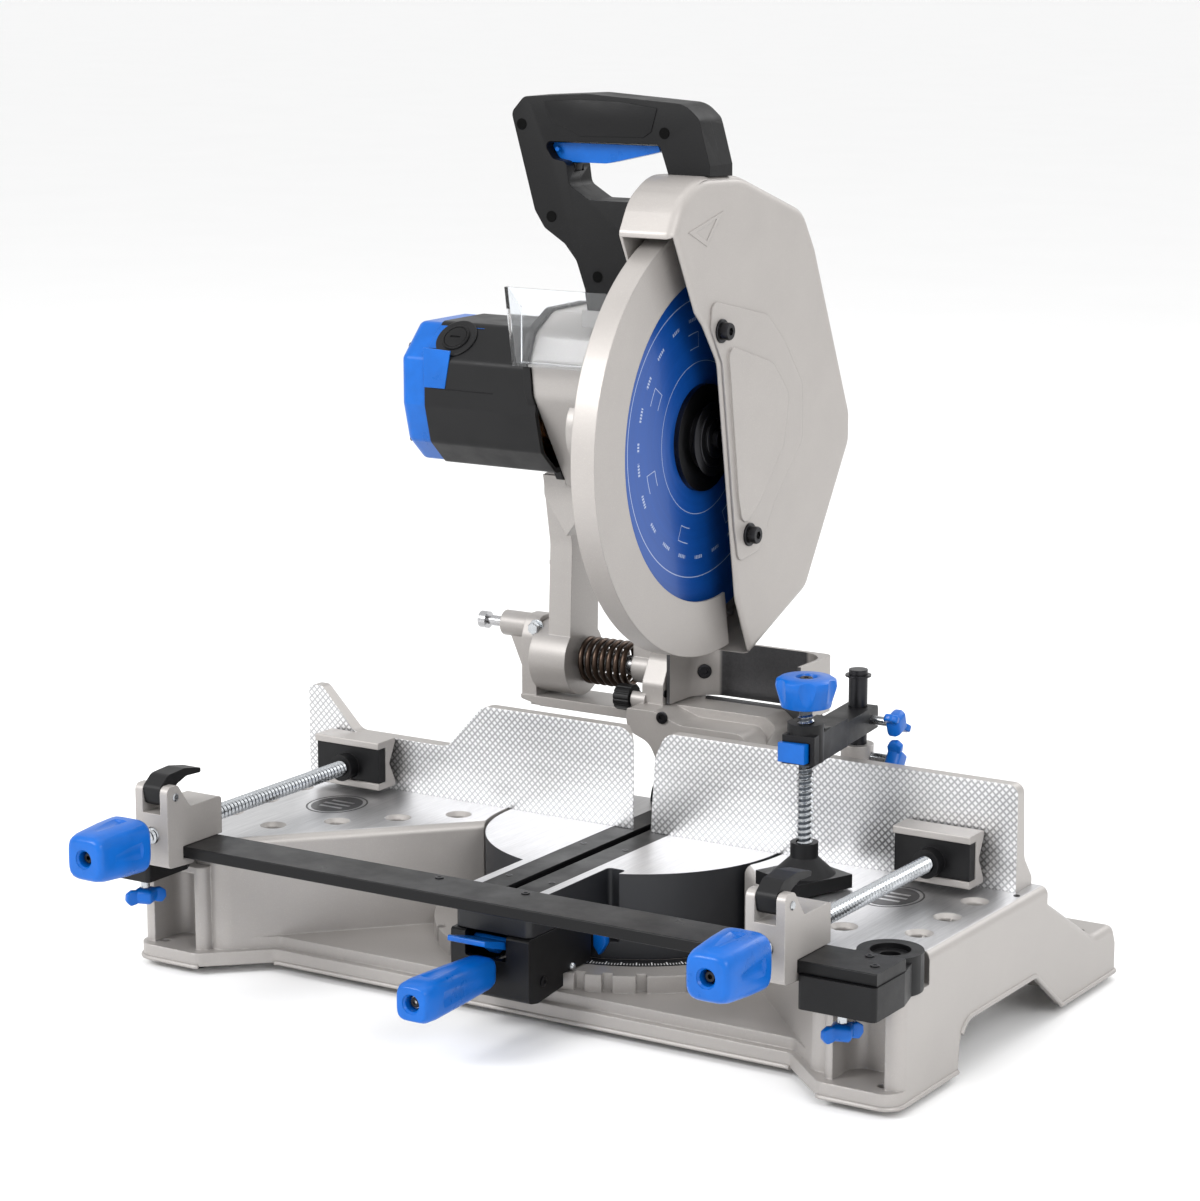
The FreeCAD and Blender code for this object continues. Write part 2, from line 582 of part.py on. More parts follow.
def gear_housing():
    """Gear case and swing arm in one casting, with two pivot hubs."""
    case = prism_x(gear_outline(0), GEAR_L, GEAR_R)
    cavity = prism_x(gear_outline(6), GEAR_L - 1, GEAR_R - 6)
    nose = rod("x", (GEAR_R - 1, ARBOR_Y, ARBOR_Z), 27, GUARD_NOSE - GEAR_R + 1)
    arm = prism_x([(146, 232), (150, 330, 40), (138, 396), (193, 396), (196, 330, 40), (194, 232)],
                  ARM_X0, ARM_X1)
    foot = prism_y([(ARM_X0, 376, 10), (ARM_X0, 398, 4), (GEAR_R, 398), (GEAR_R, 388, 8), (ARM_X1 + 26, 376, 20),
                    (ARM_X1, 340)], 140, 192)
    hub_left = rod("x", (ARM_HUB_X0, PIVOT_Y, PIVOT_Z), ARM_HUB_R, ARM_X1 - ARM_HUB_X0)
    hub_right = rod("x", (YOKE_R0 - 24, PIVOT_Y, PIVOT_Z), 15, 24 - RUN)
    strut = prism_y([(YOKE_R0 - 24, PIVOT_Z), (YOKE_R0 - RUN, PIVOT_Z), (YOKE_R0 - RUN, 300, 20), (-96, 392),
                     (-120, 392), (YOKE_R0 - 24, 300, 20)], 160, 184)
    neck_seat = box(-100, 64, 545, -32, 94, 560)
    ribs = [box(ARM_X0 - 1, 150 + 0.01, z, ARM_X0 + 3, 192, z + 4) for z in (270, 310, 350)]
    gear_bulge = rod("x", (PINION_X - 4, ARBOR_Y, ARBOR_Z), GEAR_PITCH_R + 7, GEAR_R - PINION_X + 4)
    case = fuse(case, gear_bulge, nose, arm, foot, hub_left, hub_right, strut, neck_seat, *ribs)
    bores = [rod("x", (ARM_HUB_X0 - 1, PIVOT_Y, PIVOT_Z), PIVOT_R + SLIP, 160),
             rod("x", (GEAR_R - 10, ARBOR_Y, ARBOR_Z), BEARING_R, 60)]
    gear_room = rod("x", (PINION_X - 1, ARBOR_Y, ARBOR_Z), GEAR_PITCH_R + 1.5, 17)
    swing = math.radians(CHOP)
    groove = tube("x", (ARM_HUB_X0 - 1, PIVOT_Y, PIVOT_Z), PIN_Z - PIVOT_Z + PIN_R + 0.5,
                  PIN_Z - PIVOT_Z - PIN_R - 0.5, 8)
    hole = rod("x", (ARM_HUB_X0 - 1, PIVOT_Y + (PIN_Z - PIVOT_Z) * math.sin(swing),
                     PIVOT_Z + (PIN_Z - PIVOT_Z) * math.cos(swing)), PIN_R + 0.3, 16)
    return cut(case, cavity, gear_room, groove, hole, *bores)


ARM_X0, ARM_X1 = -190.0, -166.0
ARM_HUB_X0 = YOKE_L1 + 0.35
GUARD_NOSE = -13.5
BEARING_R = 17.5


def motor_outline(d):
    return [(65 + d, 505, 8), (96, 536 - d, 8), (164, 536 - d, 8), (195 - d, 505, 8), (195 - d, 438, 8),
            (166, 406 + d, 8), (98, 406 + d, 8), (74 + d, 428, 8), (65 + d, 462, 8)]


def motor_housing():
    barrel = prism_x(motor_outline(0), MOTOR_L + 14, MOTOR_R - RUN)
    flange = prism_x(gear_outline(-2.5), MOTOR_R - 8, MOTOR_R - RUN).common(box(-400, 50, 398, 0, 210, 560))
    hollow = prism_x(motor_outline(5), MOTOR_L - 1, MOTOR_R + 1)
    return cut(fuse(barrel, flange), hollow)


def motor_end_cap():
    cap = prism_x(motor_outline(1.5), MOTOR_L - 14, MOTOR_L + 13.5)
    cap = round_edges(cap, 8, lambda e: e.CenterOfMass.x < MOTOR_L - 13.9)
    hollow = prism_x(motor_outline(6), MOTOR_L - 8, MOTOR_L + 14)
    slots = [box(MOTOR_L - 15, 92 + 13 * k, 436, MOTOR_L - 2, 98 + 13 * k, 504) for k in range(6)]
    return cut(cap, hollow, *slots)


def stator():
    return tube("x", (MOTOR_L + 32, MOTOR_Y, MOTOR_Z), 54, 33, 84)


def armature():
    core = rod("x", (MOTOR_L + 36, MOTOR_Y, MOTOR_Z), 32, 74)
    shaft = rod("x", (MOTOR_L + 2, MOTOR_Y, MOTOR_Z), 6, 190)
    commutator = rod("x", (MOTOR_L + 12, MOTOR_Y, MOTOR_Z), 17, 18)
    fan = rod("x", (MOTOR_R - 18, MOTOR_Y, MOTOR_Z), 44, 12)
    pinion = rod("x", (PINION_X, MOTOR_Y, MOTOR_Z), PINION_R, 16)
    return fuse(core, shaft, commutator, fan, pinion)


PINION_X = -112.0
CENTRES = math.hypot(MOTOR_Y - ARBOR_Y, MOTOR_Z - ARBOR_Z)
PINION_R = CENTRES * 0.2 - 0.2
GEAR_PITCH_R = CENTRES * 0.8 - 0.2


def spindle():
    """Output shaft with its gear."""
    shaft = rod("x", (PINION_X - 6, ARBOR_Y, ARBOR_Z), 9, -BLADE_T / 2 - 6 - PINION_X + 6)
    gear = rod("x", (PINION_X, ARBOR_Y, ARBOR_Z), GEAR_PITCH_R, 14)
    seat = rod("x", (-BLADE_T / 2 - 8, ARBOR_Y, ARBOR_Z), BORE_R - SLIP, BLADE_T + 12)
    thread = rod("x", (-BLADE_T / 2 - 8, ARBOR_Y, ARBOR_Z), 5, 30)
    return fuse(shaft, gear, seat).cut(thread)


def inner_flange():
    return tube("x", (-BLADE_T / 2 - 7, ARBOR_Y, ARBOR_Z), 45, BORE_R, 7)


def outer_flange():
    disc = tube("x", (BLADE_T / 2, ARBOR_Y, ARBOR_Z), 47, BORE_R, 5)
    step = tube("x", (BLADE_T / 2 + 5, ARBOR_Y, ARBOR_Z), 28, BORE_R, 4)
    cap = tube("x", (BLADE_T / 2 + 9, ARBOR_Y, ARBOR_Z), 18, 5.2, 3)
    return fuse(disc, step, cap)


def arbor_bolt():
    shank = rod("x", (-6, ARBOR_Y, ARBOR_Z), 5, BLADE_T / 2 + 12 + 6)
    head = rod("x", (BLADE_T / 2 + 12, ARBOR_Y, ARBOR_Z), 9, 9)
    return fuse(shank, head)


TEETH = 66


def saw_blade():
    """Disc with one gullet per tooth."""
    points = []
    for k in range(TEETH):
        a = 2 * math.pi * k / TEETH
        step = 2 * math.pi / TEETH
        for share, r in ((0.0, BLADE_R), (0.08, BLADE_R - 7.5), (0.5, BLADE_R - 7), (0.78, BLADE_R - 1.2)):
            points.append((ARBOR_Y + r * math.cos(a + share * step), ARBOR_Z + r * math.sin(a + share * step)))
    disc = prism_x(points, -BLADE_T / 2, BLADE_T / 2)
    return disc.cut(rod("x", (-5, ARBOR_Y, ARBOR_Z), BORE_R, 10))


def ring_sector(r_out, r_in, x0, x1, start, sweep):
    """A ring round the arbor from angle start, measured from +Y towards +Z."""
    ring = tube("x", (x0, ARBOR_Y, ARBOR_Z), r_out, r_in, x1 - x0)
    size = 2 * r_out
    wedge = [(ARBOR_Y, ARBOR_Z)]
    steps = 8
    for k in range(steps + 1):
        a = math.radians(start + sweep * k / steps)
        wedge.append((ARBOR_Y + size * math.cos(a), ARBOR_Z + size * math.sin(a)))
    return ring.common(prism_x(wedge, x0, x1))


GUARD_START, GUARD_SWEEP = 96.0, 184.0


def lower_guard():
    right = ring_sector(GUARD_R, GUARD_IN, GUARD_HALF - SHELL, GUARD_HALF, GUARD_START, GUARD_SWEEP)
    left = ring_sector(GUARD_R, 60, -GUARD_HALF, -GUARD_HALF + SHELL, GUARD_START, GUARD_SWEEP)
    hub = tube("x", (-GUARD_HALF, ARBOR_Y, ARBOR_Z), 62, 48, SHELL)
    rim = ring_sector(GUARD_R, GUARD_R - SHELL, -GUARD_HALF, GUARD_HALF, GUARD_START, GUARD_SWEEP)
    return fuse(right, left, hub, rim)


COVER = [(-4, 636, 6), (12, 664, 40), (45, 682, 60), (112, 679, 90), (226, 641, 34), (249, 606, 34), (319, 449, 20),
         (319, 421, 20), (239, 296, 20), (136, 253.5, 4), (129, 256, 4), (105, 308, 30), (71, 520, 20), (46, 554, 4),
         (33, 566, 4)]


def cover_inner():
    """The same outline drawn in by the sheet, but run out past the open front edge."""
    return [(-10, 628), (2, 636), (17, 660, 28), (46, 679, 38), (111, 676, 58), (223, 639, 24), (246, 605, 24),
            (316, 449, 18), (316, 422, 18), (237, 298.5, 18), (138, 257), (108, 245), (80, 300), (40, 520),
            (0, 560)]


def upper_guard():
    outer = prism_x(COVER, COVER_L, COVER_R)
    outer = round_edges(outer, 9, lambda e: e.CenterOfMass.x > COVER_R - 0.01 and edge_far(e))
    inner = prism_x(cover_inner(), COVER_L + SHELL, COVER_R - SHELL)
    shell = outer.cut(inner)
    hole = rod("x", (COVER_L - 1, ARBOR_Y, ARBOR_Z), 64, SHELL + 2)
    window = prism_x(plate_outline(-7), COVER_R - SHELL - 1, COVER_R + 1)
    return cut(shell, hole, window)


def edge_far(edge):
    """Edges of the cover's closed back rim, away from its straight front edge."""
    c = edge.CenterOfMass
    reach = math.hypot(c.y - ARBOR_Y, c.z - ARBOR_Z)
    return reach > 196 and c.y > 0 and edge.BoundBox.XLength < 0.01


def plate_outline(d):
    return [(60 - d, 576 + d, 8), (156, 555 + d, 12), (186 + d, 530, 16), (221 + d, 487, 16), (222 + d, 436, 16),
            (172 + d, 387 - d, 16), (145 + d, 347 - d, 10), (108, 342 - d, 8), (101 - d, 372, 6),
            (78 - d, 520, 6), (58 - d, 552, 8)]


def access_plate():
    """Bolted plate over the arbor with its raised panel."""
    plate = prism_x(plate_outline(0), COVER_R + 0.01, COVER_R + 1.8)
    panel = prism_x([(84, 536, 10), (163, 512, 12), (193, 481, 14), (184, 437, 14), (140, 389, 14),
                     (112, 371, 10), (104, 400, 8), (88, 510, 8)],
                    COVER_R + 1.8, COVER_R + 4)
    bolts = [rod("x", (COVER_R + 0.01, y, z), 6.5, 9) for y, z in PLATE_BOLTS]
    return fuse(plate, panel, *bolts)


PLATE_BOLTS = ((75, 549), (126, 364))


def chip_shield():
    """Clear bent sheet in front of the gear case."""
    t = 2.5
    front = prism_x([(28, 580), (28 + t, 580), (41 + t, 512), (53.5, 512), (53.5, 512 - t), (40, 512 - t)],
                    -158, -30)
    side = prism_x([(28, 580), (40, 512), (53.5, 512), (53.5, 560), (34, 580)], -158, -158 + t)
    return front.fuse(side).removeSplitter()


# ---------------------------------------------------------------- handle
def handle_outline():
    return [(-171, 729, 8), (-158, 743, 8), (-94, 747, 60), (5, 741, 30), (19, 729, 10), (30, 690), (30, 668),
            (-22.5, 668), (-22.5, 598, 14), (-38, 576), (-38, 560.2), (-92, 560.2), (-95, 578, 10), (-104, 603, 14),
            (-116, 617, 10), (-137, 630, 10), (-147, 645, 10)]


def handle_window():
    return [(-139, 705, 6), (-20, 706, 6), (-9, 675, 6), (-30, 656, 6), (-91, 656, 8), (-111, 668, 8), (-114, 688, 6),
            (-128, 690, 6)]


def handle_shell(y0, y1):
    shell = prism_y(handle_outline(), y0, y1)
    shell = shell.cut(prism_y(handle_window(), y0 - 1, y1 + 1))
    slot = prism_y([(-140.5, 679), (-140.5, 712), (-24, 722), (-19, 700), (-60, 679)], TRIGGER_Y0 - RUN, TRIGGER_Y1 + RUN)
    pin = rod("y", (-128, TRIGGER_Y0 - 6, 698), 2 + SLIP, TRIGGER_Y1 - TRIGGER_Y0 + 12)
    seat = prism_x(COVER, COVER_L - 0.2, COVER_R + 5)
    return cut(shell, slot, pin, seat)


def handle_rear():
    """Rear half of the handle with the gland for the mains cord."""
    gland = rod("y", (-86, HANDLE_Y1 - 1, 596), 8.5, 7).fuse(rod("y", (-86, HANDLE_Y1 + 5, 596), 6.2, 13))
    gland = gland.cut(rod("y", (-86, HANDLE_Y1 + 2, 596), 3.6, 20))
    return fuse(handle_shell(HANDLE_SPLIT, HANDLE_Y1), gland)


TRIGGER_Y0, TRIGGER_Y1 = 72.0, 86.0
HANDLE_SPLIT = (HANDLE_Y0 + HANDLE_Y1) / 2


def trigger():
    blade = prism_y([(-137, 703.5, 2), (-137, 688, 3), (-127, 683, 3), (-118, 687, 4), (-80, 687, 30), (-26, 699, 2),
                     (-28, 704, 2)], TRIGGER_Y0, TRIGGER_Y1)
    pin = rod("y", (-128, TRIGGER_Y0 - 5, 698), 2, TRIGGER_Y1 - TRIGGER_Y0 + 10)
    return blade.fuse(pin)


# ---------------------------------------------------------------- vices
VICE_BODY_FRONT = -304.0
VICE_BODY_BACK = -232.0
VICE_HALF = 17.0
JAW_HALF = 35.0
JAW_FRONT, JAW_BACK = -29.0, -3.0
JAW_Z0, JAW_Z1 = 124.5, 168.5


def vice_body(side):
    """Casting that hooks round the front of the rail and carries the screw and the lever."""
    x0, x1 = side * VICE_X - VICE_HALF, side * VICE_X + VICE_HALF
    solid = prism_x([(VICE_BODY_FRONT, 116, 4), (VICE_BODY_FRONT, 186, 6), (-290, 186, 6), (-274, 164, 4), (VICE_BODY_BACK, 164, 4),
                     (VICE_BODY_BACK, RAIL_Z + RAIL_T + RUN), (RAIL_FRONT - RUN, RAIL_Z + RAIL_T + RUN),
                     (RAIL_FRONT - RUN, RAIL_Z - RUN), (-270, RAIL_Z - RUN), (-270, 114, 3)], x0, x1)
    bore = rod("y", (side * VICE_X, -320, VICE_Z), SCREW_R + SLIP, 120)
    slot = box(side * VICE_X - LEVER_HALF - RUN, -320, 162, side * VICE_X + LEVER_HALF + RUN, -268, 200)
    pin = rod("x", (x0 + 3, LEVER_Y, LEVER_Z), 2.5 + SLIP, 2 * VICE_HALF - 6)
    return cut(solid, bore, slot, pin)


LEVER_Y, LEVER_Z = -293.0, 176.0
LEVER_HALF = 9.0


def vice_lever(side):
    """Quick-release lever: a curved thumb tab over a cam barrel."""
    x = side * VICE_X
    tab = prism_x([(-301, 170, 4), (-304, 184, 6), (-292, 193.5, 10), (-270, 195, 14), (-249, 191, 1.5),
                   (-249, 187, 1.5), (-268, 188, 10), (-283, 183, 8), (-286, 172, 4), (-294, 166.5, 5)],
                  x - LEVER_HALF, x + LEVER_HALF)
    pin = rod("x", (x - VICE_HALF + 4, LEVER_Y, LEVER_Z), 2.5, 2 * VICE_HALF - 8)
    return tab.fuse(pin)


def vice_jaw(side):
    """Aluminium channel with a V groove towards the fence."""
    x0, x1 = side * VICE_X - JAW_HALF, side * VICE_X + JAW_HALF
    mid = (JAW_Z0 + JAW_Z1) / 2
    outer = prism_x([(JAW_FRONT, JAW_Z0, 1), (JAW_FRONT, JAW_Z1, 1), (JAW_BACK, JAW_Z1, 1), (JAW_BACK, JAW_Z1 - 4),
                     (JAW_BACK - 9, mid), (JAW_BACK, JAW_Z0 + 4), (JAW_BACK, JAW_Z0, 1)], x0, x1)
    channel = box(x0 - 1, JAW_FRONT - 1, JAW_Z0 + 6, x1 + 1, JAW_FRONT + 12, JAW_Z1 - 6)
    return outer.cut(channel)


def vice_insert(side):
    """Black block in the jaw's channel that holds the end of the screw."""
    x = side * VICE_X
    block = box(x - JAW_HALF + 1, JAW_FRONT + 2, JAW_Z0 + 6 + SLIP, x + JAW_HALF - 1, JAW_FRONT + 12 - SLIP,
                JAW_Z1 - 6 - SLIP)
    boss = rod("y", (x, JAW_FRONT - 10, VICE_Z), 12, 13)
    cup = rod("y", (x, JAW_FRONT - 11, VICE_Z), SCREW_R + SLIP, 18)
    return fuse(block, boss).cut(cup)


def vice_screw(side):
    return rod("y", (side * VICE_X, KNOB_BACK - 30, VICE_Z), SCREW_R, JAW_FRONT + 6 - KNOB_BACK + 30)


KNOB_FRONT, KNOB_BACK = -392.0, -330.0


def vice_knob(side):
    x = side * VICE_X

    def section(y, half):
        pts = [(x - half, VICE_Z - half, half * 0.5), (x - half, VICE_Z + half, half * 0.5),
               (x + half, VICE_Z + half, half * 0.5), (x + half, VICE_Z - half, half * 0.5)]
        return outline(pts, lambda u, v: V(u, y, v))
    body = Part.makeLoft([section(KNOB_FRONT, 17), section(KNOB_FRONT + 10, 20.5), section(KNOB_BACK, 23.5)],
                         True, True)
    socket = rod("y", (x, KNOB_FRONT - 1, VICE_Z), 9, 16)
    return cut(body, socket, rod("y", (x, KNOB_BACK - 30, VICE_Z), SCREW_R, 60))


# ---------------------------------------------------------------- hold-down clamp
ARM_TOP, ARM_BOTTOM = 258.0, 226.0


def clamp_direction():
    dx, dy = POST_X - CLAMP_X, POST_Y - CLAMP_Y
    length = math.hypot(dx, dy)
    return dx / length, dy / length, length


def clamp_arm():
    """Black arm from the clamp screw back over the fence to the post."""
    ux, uy, length = clamp_direction()
    arm = fuse(box(-16, -14, ARM_BOTTOM, length * 0.5, 14, ARM_BOTTOM + 24),
               prism_y([(10, ARM_BOTTOM), (length + 14, ARM_BOTTOM), (length + 14, 246, 4), (60, 246, 10), (10, ARM_TOP - 6)],
                       -13, 13),
               rod("z", (0, 0, ARM_BOTTOM), 15, ARM_TOP - ARM_BOTTOM))
    arm.rotate(V(0, 0, 0), V(0, 0, 1), math.degrees(math.atan2(uy, ux)))
    arm.translate(V(CLAMP_X, CLAMP_Y, 0))
    screw_bore = rod("z", (CLAMP_X, CLAMP_Y, 200), SCREW_R + SLIP, 90)
    post_bore = rod("z", (POST_X, POST_Y, 200), POST_R + SLIP, 90)
    stud = rod("x", (POST_X, POST_Y, ARM_KNOB_Z), KNOB_STUD_R + SLIP, 40)
    button = box(CLAMP_X - 19, CLAMP_Y - 19, BUTTON_Z0 - RUN, CLAMP_X + 12, CLAMP_Y - 9, BUTTON_Z1 + RUN)
    return cut(arm, screw_bore, post_bore, stud, button)


ARM_KNOB_Z = 236.0
BUTTON_Z0, BUTTON_Z1 = 228.0, 244.0


def clamp_button():
    return box(CLAMP_X - 14, CLAMP_Y - 21, BUTTON_Z0, CLAMP_X + 10, CLAMP_Y - 12.5, BUTTON_Z1)


def clamp_post():
    post = rod("z", (POST_X, POST_Y, TABLE_Z + 8.3), POST_R, 278 - TABLE_Z - 8.3)
    clip = tube("z", (POST_X, POST_Y, 272), POST_R + 3, POST_R - 0.5, 1.5)
    return fuse(post, clip)


def clamp_screw():
    return rod("z", (CLAMP_X, CLAMP_Y, 132), SCREW_R, 272 - 132)


def clamp_foot():
    """Pad under the screw: square plate, pyramid and neck."""
    plate = box(-28, -28, TABLE_Z + 1.5, 28, 28, TABLE_Z + 13)
    pyramid = Part.makeCone(26, 11, 14, V(0, 0, TABLE_Z + 13))
    neck = rod("z", (0, 0, TABLE_Z + 13), 11.5, 26)
    foot = fuse(plate, pyramid, neck)
    foot.rotate(V(0, 0, 0), V(0, 0, 1), -22)
    foot.translate(V(CLAMP_X, CLAMP_Y, 0))
    return foot.cut(rod("z", (CLAMP_X, CLAMP_Y, 132), SCREW_R + SLIP, 60))


def clamp_knob():
    body = Part.makeCone(21, 26, 16, V(CLAMP_X, CLAMP_Y, 270))
    body = body.fuse(Part.makeCone(26, 25, 10, V(CLAMP_X, CLAMP_Y, 286)))
    for k in range(6):
        flat = rod("z", (CLAMP_X + 36, CLAMP_Y, 260), 13, 50)
        flat.rotate(V(CLAMP_X, CLAMP_Y, 0), V(0, 0, 1), 60 * k)
        body = body.cut(flat)
    return body.cut(rod("z", (CLAMP_X, CLAMP_Y, 260), SCREW_R, 12)).removeSplitter()


def side_knob(x, z):
    """Wing knob with its axis along X, stud pointing at the post."""
    knob = wing_knob(17, 13)
    piece = fuse(knob, rod("z", (0, 0, -2), 7, 6), rod("z", (0, 0, 0), KNOB_STUD_R, x - POST_X - POST_R - 0.3))
    piece.rotate(V(0, 0, 0), V(0, 1, 0), -90)
    piece.translate(V(x, POST_Y, z))
    return piece


# ---------------------------------------------------------------- all pieces
def main():
    os.makedirs("parts", exist_ok=True)
    pieces = {
        "base_casting": base_casting, "rubber_feet": rubber_feet, "fence_left": fence_left,
        "fence_right": fence_right, "front_rail": front_rail, "rail_brackets": rail_brackets,
        "rail_wing_left": lambda: rail_wing(-1), "rail_wing_right": lambda: rail_wing(1),
        "turntable": turntable, "kerf_inserts": kerf_inserts, "pivot_bolt": pivot_bolt,
        "arm_housing": arm_housing, "mitre_grip": mitre_grip, "mitre_lock_rod": mitre_lock_rod,
        "mitre_paddle": mitre_paddle, "yoke_casting": yoke_casting, "bevel_shaft": bevel_shaft,
        "bevel_lever": bevel_lever, "torsion_spring": torsion_spring, "depth_stop_knob": depth_stop_knob,
        "chip_scoop": chip_scoop, "lock_pin": lock_pin, "pivot_shaft": pivot_shaft,
        "gear_housing": gear_housing, "motor_housing": motor_housing, "motor_end_cap": motor_end_cap,
        "stator": stator, "armature": armature, "spindle": spindle, "saw_blade": saw_blade,
        "inner_flange": inner_flange, "outer_flange": outer_flange, "arbor_bolt": arbor_bolt,
        "lower_guard": lower_guard, "upper_guard": upper_guard, "access_plate": access_plate,
        "chip_shield": chip_shield, "handle_front": lambda: handle_shell(HANDLE_Y0, HANDLE_SPLIT),
        "handle_rear": handle_rear, "trigger": trigger,
        "clamp_arm": clamp_arm, "clamp_button": clamp_button, "clamp_post": clamp_post,
        "clamp_screw": clamp_screw, "clamp_foot": clamp_foot, "clamp_knob": clamp_knob,
        "clamp_arm_knob": lambda: side_knob(218, ARM_KNOB_Z),
        "clamp_post_knob": lambda: side_knob(218, POST_KNOB_Z),
    }
    for side, word in ((-1, "left"), (1, "right")):
        pieces["vice_body_" + word] = lambda s=side: vice_body(s)
        pieces["vice_lever_" + word] = lambda s=side: vice_lever(s)
        pieces["vice_jaw_" + word] = lambda s=side: vice_jaw(s)
        pieces["vice_insert_" + word] = lambda s=side: vice_insert(s)
        pieces["vice_screw_" + word] = lambda s=side: vice_screw(s)
        pieces["vice_knob_" + word] = lambda s=side: vice_knob(s)
    for name, make in pieces.items():
        save(name, make())


main()
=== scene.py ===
"""Bench-top mitre saw: finishes and fine detail over the CAD frame, laid out as an add-on.

Sizes in the code are millimetres measured from the point on the floor under the middle of the
fence face; mm() turns them into the frame's metres.
"""

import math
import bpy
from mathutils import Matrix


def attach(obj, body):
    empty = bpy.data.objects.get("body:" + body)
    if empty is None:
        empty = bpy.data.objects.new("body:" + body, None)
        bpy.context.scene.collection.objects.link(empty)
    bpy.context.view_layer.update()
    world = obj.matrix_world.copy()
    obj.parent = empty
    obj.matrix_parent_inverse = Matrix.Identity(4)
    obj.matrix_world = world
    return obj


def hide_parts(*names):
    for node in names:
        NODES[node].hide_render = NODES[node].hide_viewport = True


bl_info = {
    "name": "Mitre saw detail",
    "version": (1, 0, 0),
    "blender": (4, 5, 0),
    "location": "View3D > Sidebar > Mitre saw",
    "description": "Adds finishes, fasteners, threads and fine detail to the mitre saw's CAD frame",
    "category": "Object",
}

import bpy
from mathutils import Matrix, Vector

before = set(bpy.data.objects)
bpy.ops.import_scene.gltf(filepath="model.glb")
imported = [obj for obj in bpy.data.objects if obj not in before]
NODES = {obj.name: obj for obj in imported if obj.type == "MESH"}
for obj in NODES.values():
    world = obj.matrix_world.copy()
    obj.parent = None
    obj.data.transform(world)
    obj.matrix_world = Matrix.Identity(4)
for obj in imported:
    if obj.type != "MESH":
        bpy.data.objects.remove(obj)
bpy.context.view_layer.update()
FENCE_Y = 36.5          # fence face behind the middle of the frame, mm
SMOOTH = math.radians(32)
RIGHT, LEFT, BACK, FRONT, UP, DOWN = (
    (1, 0, 0), (-1, 0, 0), (0, 1, 0), (0, -1, 0), (0, 0, 1), (0, 0, -1))
ARBOR = (0, 97.5, 451.5)        # middle of the blade, mm
CLAMP = (203, -77)              # line of the clamp screw, mm
HANDLE_SCREWS = ((-160, 719), (-15, 716), (-129.5, 640), (-82, 590))


# ---------------------------------------------------------------- places and selection
def mm(x, y, z):
    return Vector((x, y + FENCE_Y, z)) / 1000.0


def quiet():
    """Leaves edit mode and deselects everything."""
    if bpy.context.object and bpy.context.object.mode != "OBJECT":
        bpy.ops.object.mode_set(mode="OBJECT")
    bpy.ops.object.select_all(action="DESELECT")


def edit(action="SELECT"):
    """Enters edit mode with everything selected, or nothing."""
    bpy.ops.object.mode_set(mode="EDIT")
    bpy.ops.mesh.select_all(action=action)


def done():
    bpy.ops.object.mode_set(mode="OBJECT")


def cap_ends():
    """Fills the open ends of a wound mesh."""
    edit("DESELECT")
    bpy.ops.mesh.select_non_manifold()
    bpy.ops.mesh.fill()
    done()


def pick(obj):
    quiet()
    obj.select_set(True)
    bpy.context.view_layer.objects.active = obj
    return obj


def turn_to(axis):
    """Rotation that takes +Z to the given direction."""
    return Vector((0, 0, 1)).rotation_difference(Vector(axis)).to_matrix().to_4x4()


def settle(obj, matrix=None):
    """Puts the object's place into its mesh and leaves the object at the origin."""
    pick(obj)
    if matrix is not None:
        obj.matrix_world = matrix
    bpy.ops.object.transform_apply(location=True, rotation=True, scale=True)
    return obj


def smooth(obj, angle=SMOOTH):
    pick(obj)
    bpy.ops.object.shade_smooth_by_angle(angle=angle)
    return obj


def modify(obj, kind, **values):
    """Adds one modifier and applies it."""
    pick(obj)
    mod = obj.modifiers.new(kind.lower(), kind)
    for key, value in values.items():
        setattr(mod, key, value)
    bpy.ops.object.modifier_apply(modifier=mod.name)
    return obj


def rounded(obj, width, segments=2, angle=35):
    return modify(obj, "BEVEL", width=width / 1000, segments=segments, limit_method="ANGLE",
                  angle_limit=math.radians(angle), harden_normals=False)


def outward(obj):
    """Merges doubles and points every face outwards."""
    pick(obj)
    bpy.ops.object.mode_set(mode="EDIT")
    bpy.context.tool_settings.mesh_select_mode = (True, False, False)
    bpy.ops.mesh.select_all(action="SELECT")
    bpy.ops.mesh.remove_doubles(threshold=0.000005)
    bpy.ops.mesh.normals_make_consistent(inside=False)
    done()
    return obj


def join(name, parts):
    quiet()
    for part in parts:
        part.select_set(True)
    bpy.context.view_layer.objects.active = parts[0]
    if len(parts) > 1:
        bpy.ops.object.join()
    parts[0].name = name
    return parts[0]


def again(obj, matrix):
    """A copy with its own mesh, moved by the matrix."""
    twin = obj.copy()
    twin.data = obj.data.copy()
    bpy.context.scene.collection.objects.link(twin)
    twin.data.transform(matrix)
    return twin


def mounted(obj, body, material, stands_for=None, name=None):
    """Gives a finished piece its name, its material and its body."""
    if name:
        obj.name = name
    smooth(obj)
    obj.data.materials.clear()
    obj.data.materials.append(material)
    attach(obj, body)
    if stands_for:
        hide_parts(*([stands_for] if isinstance(stands_for, str) else stands_for))
    return obj


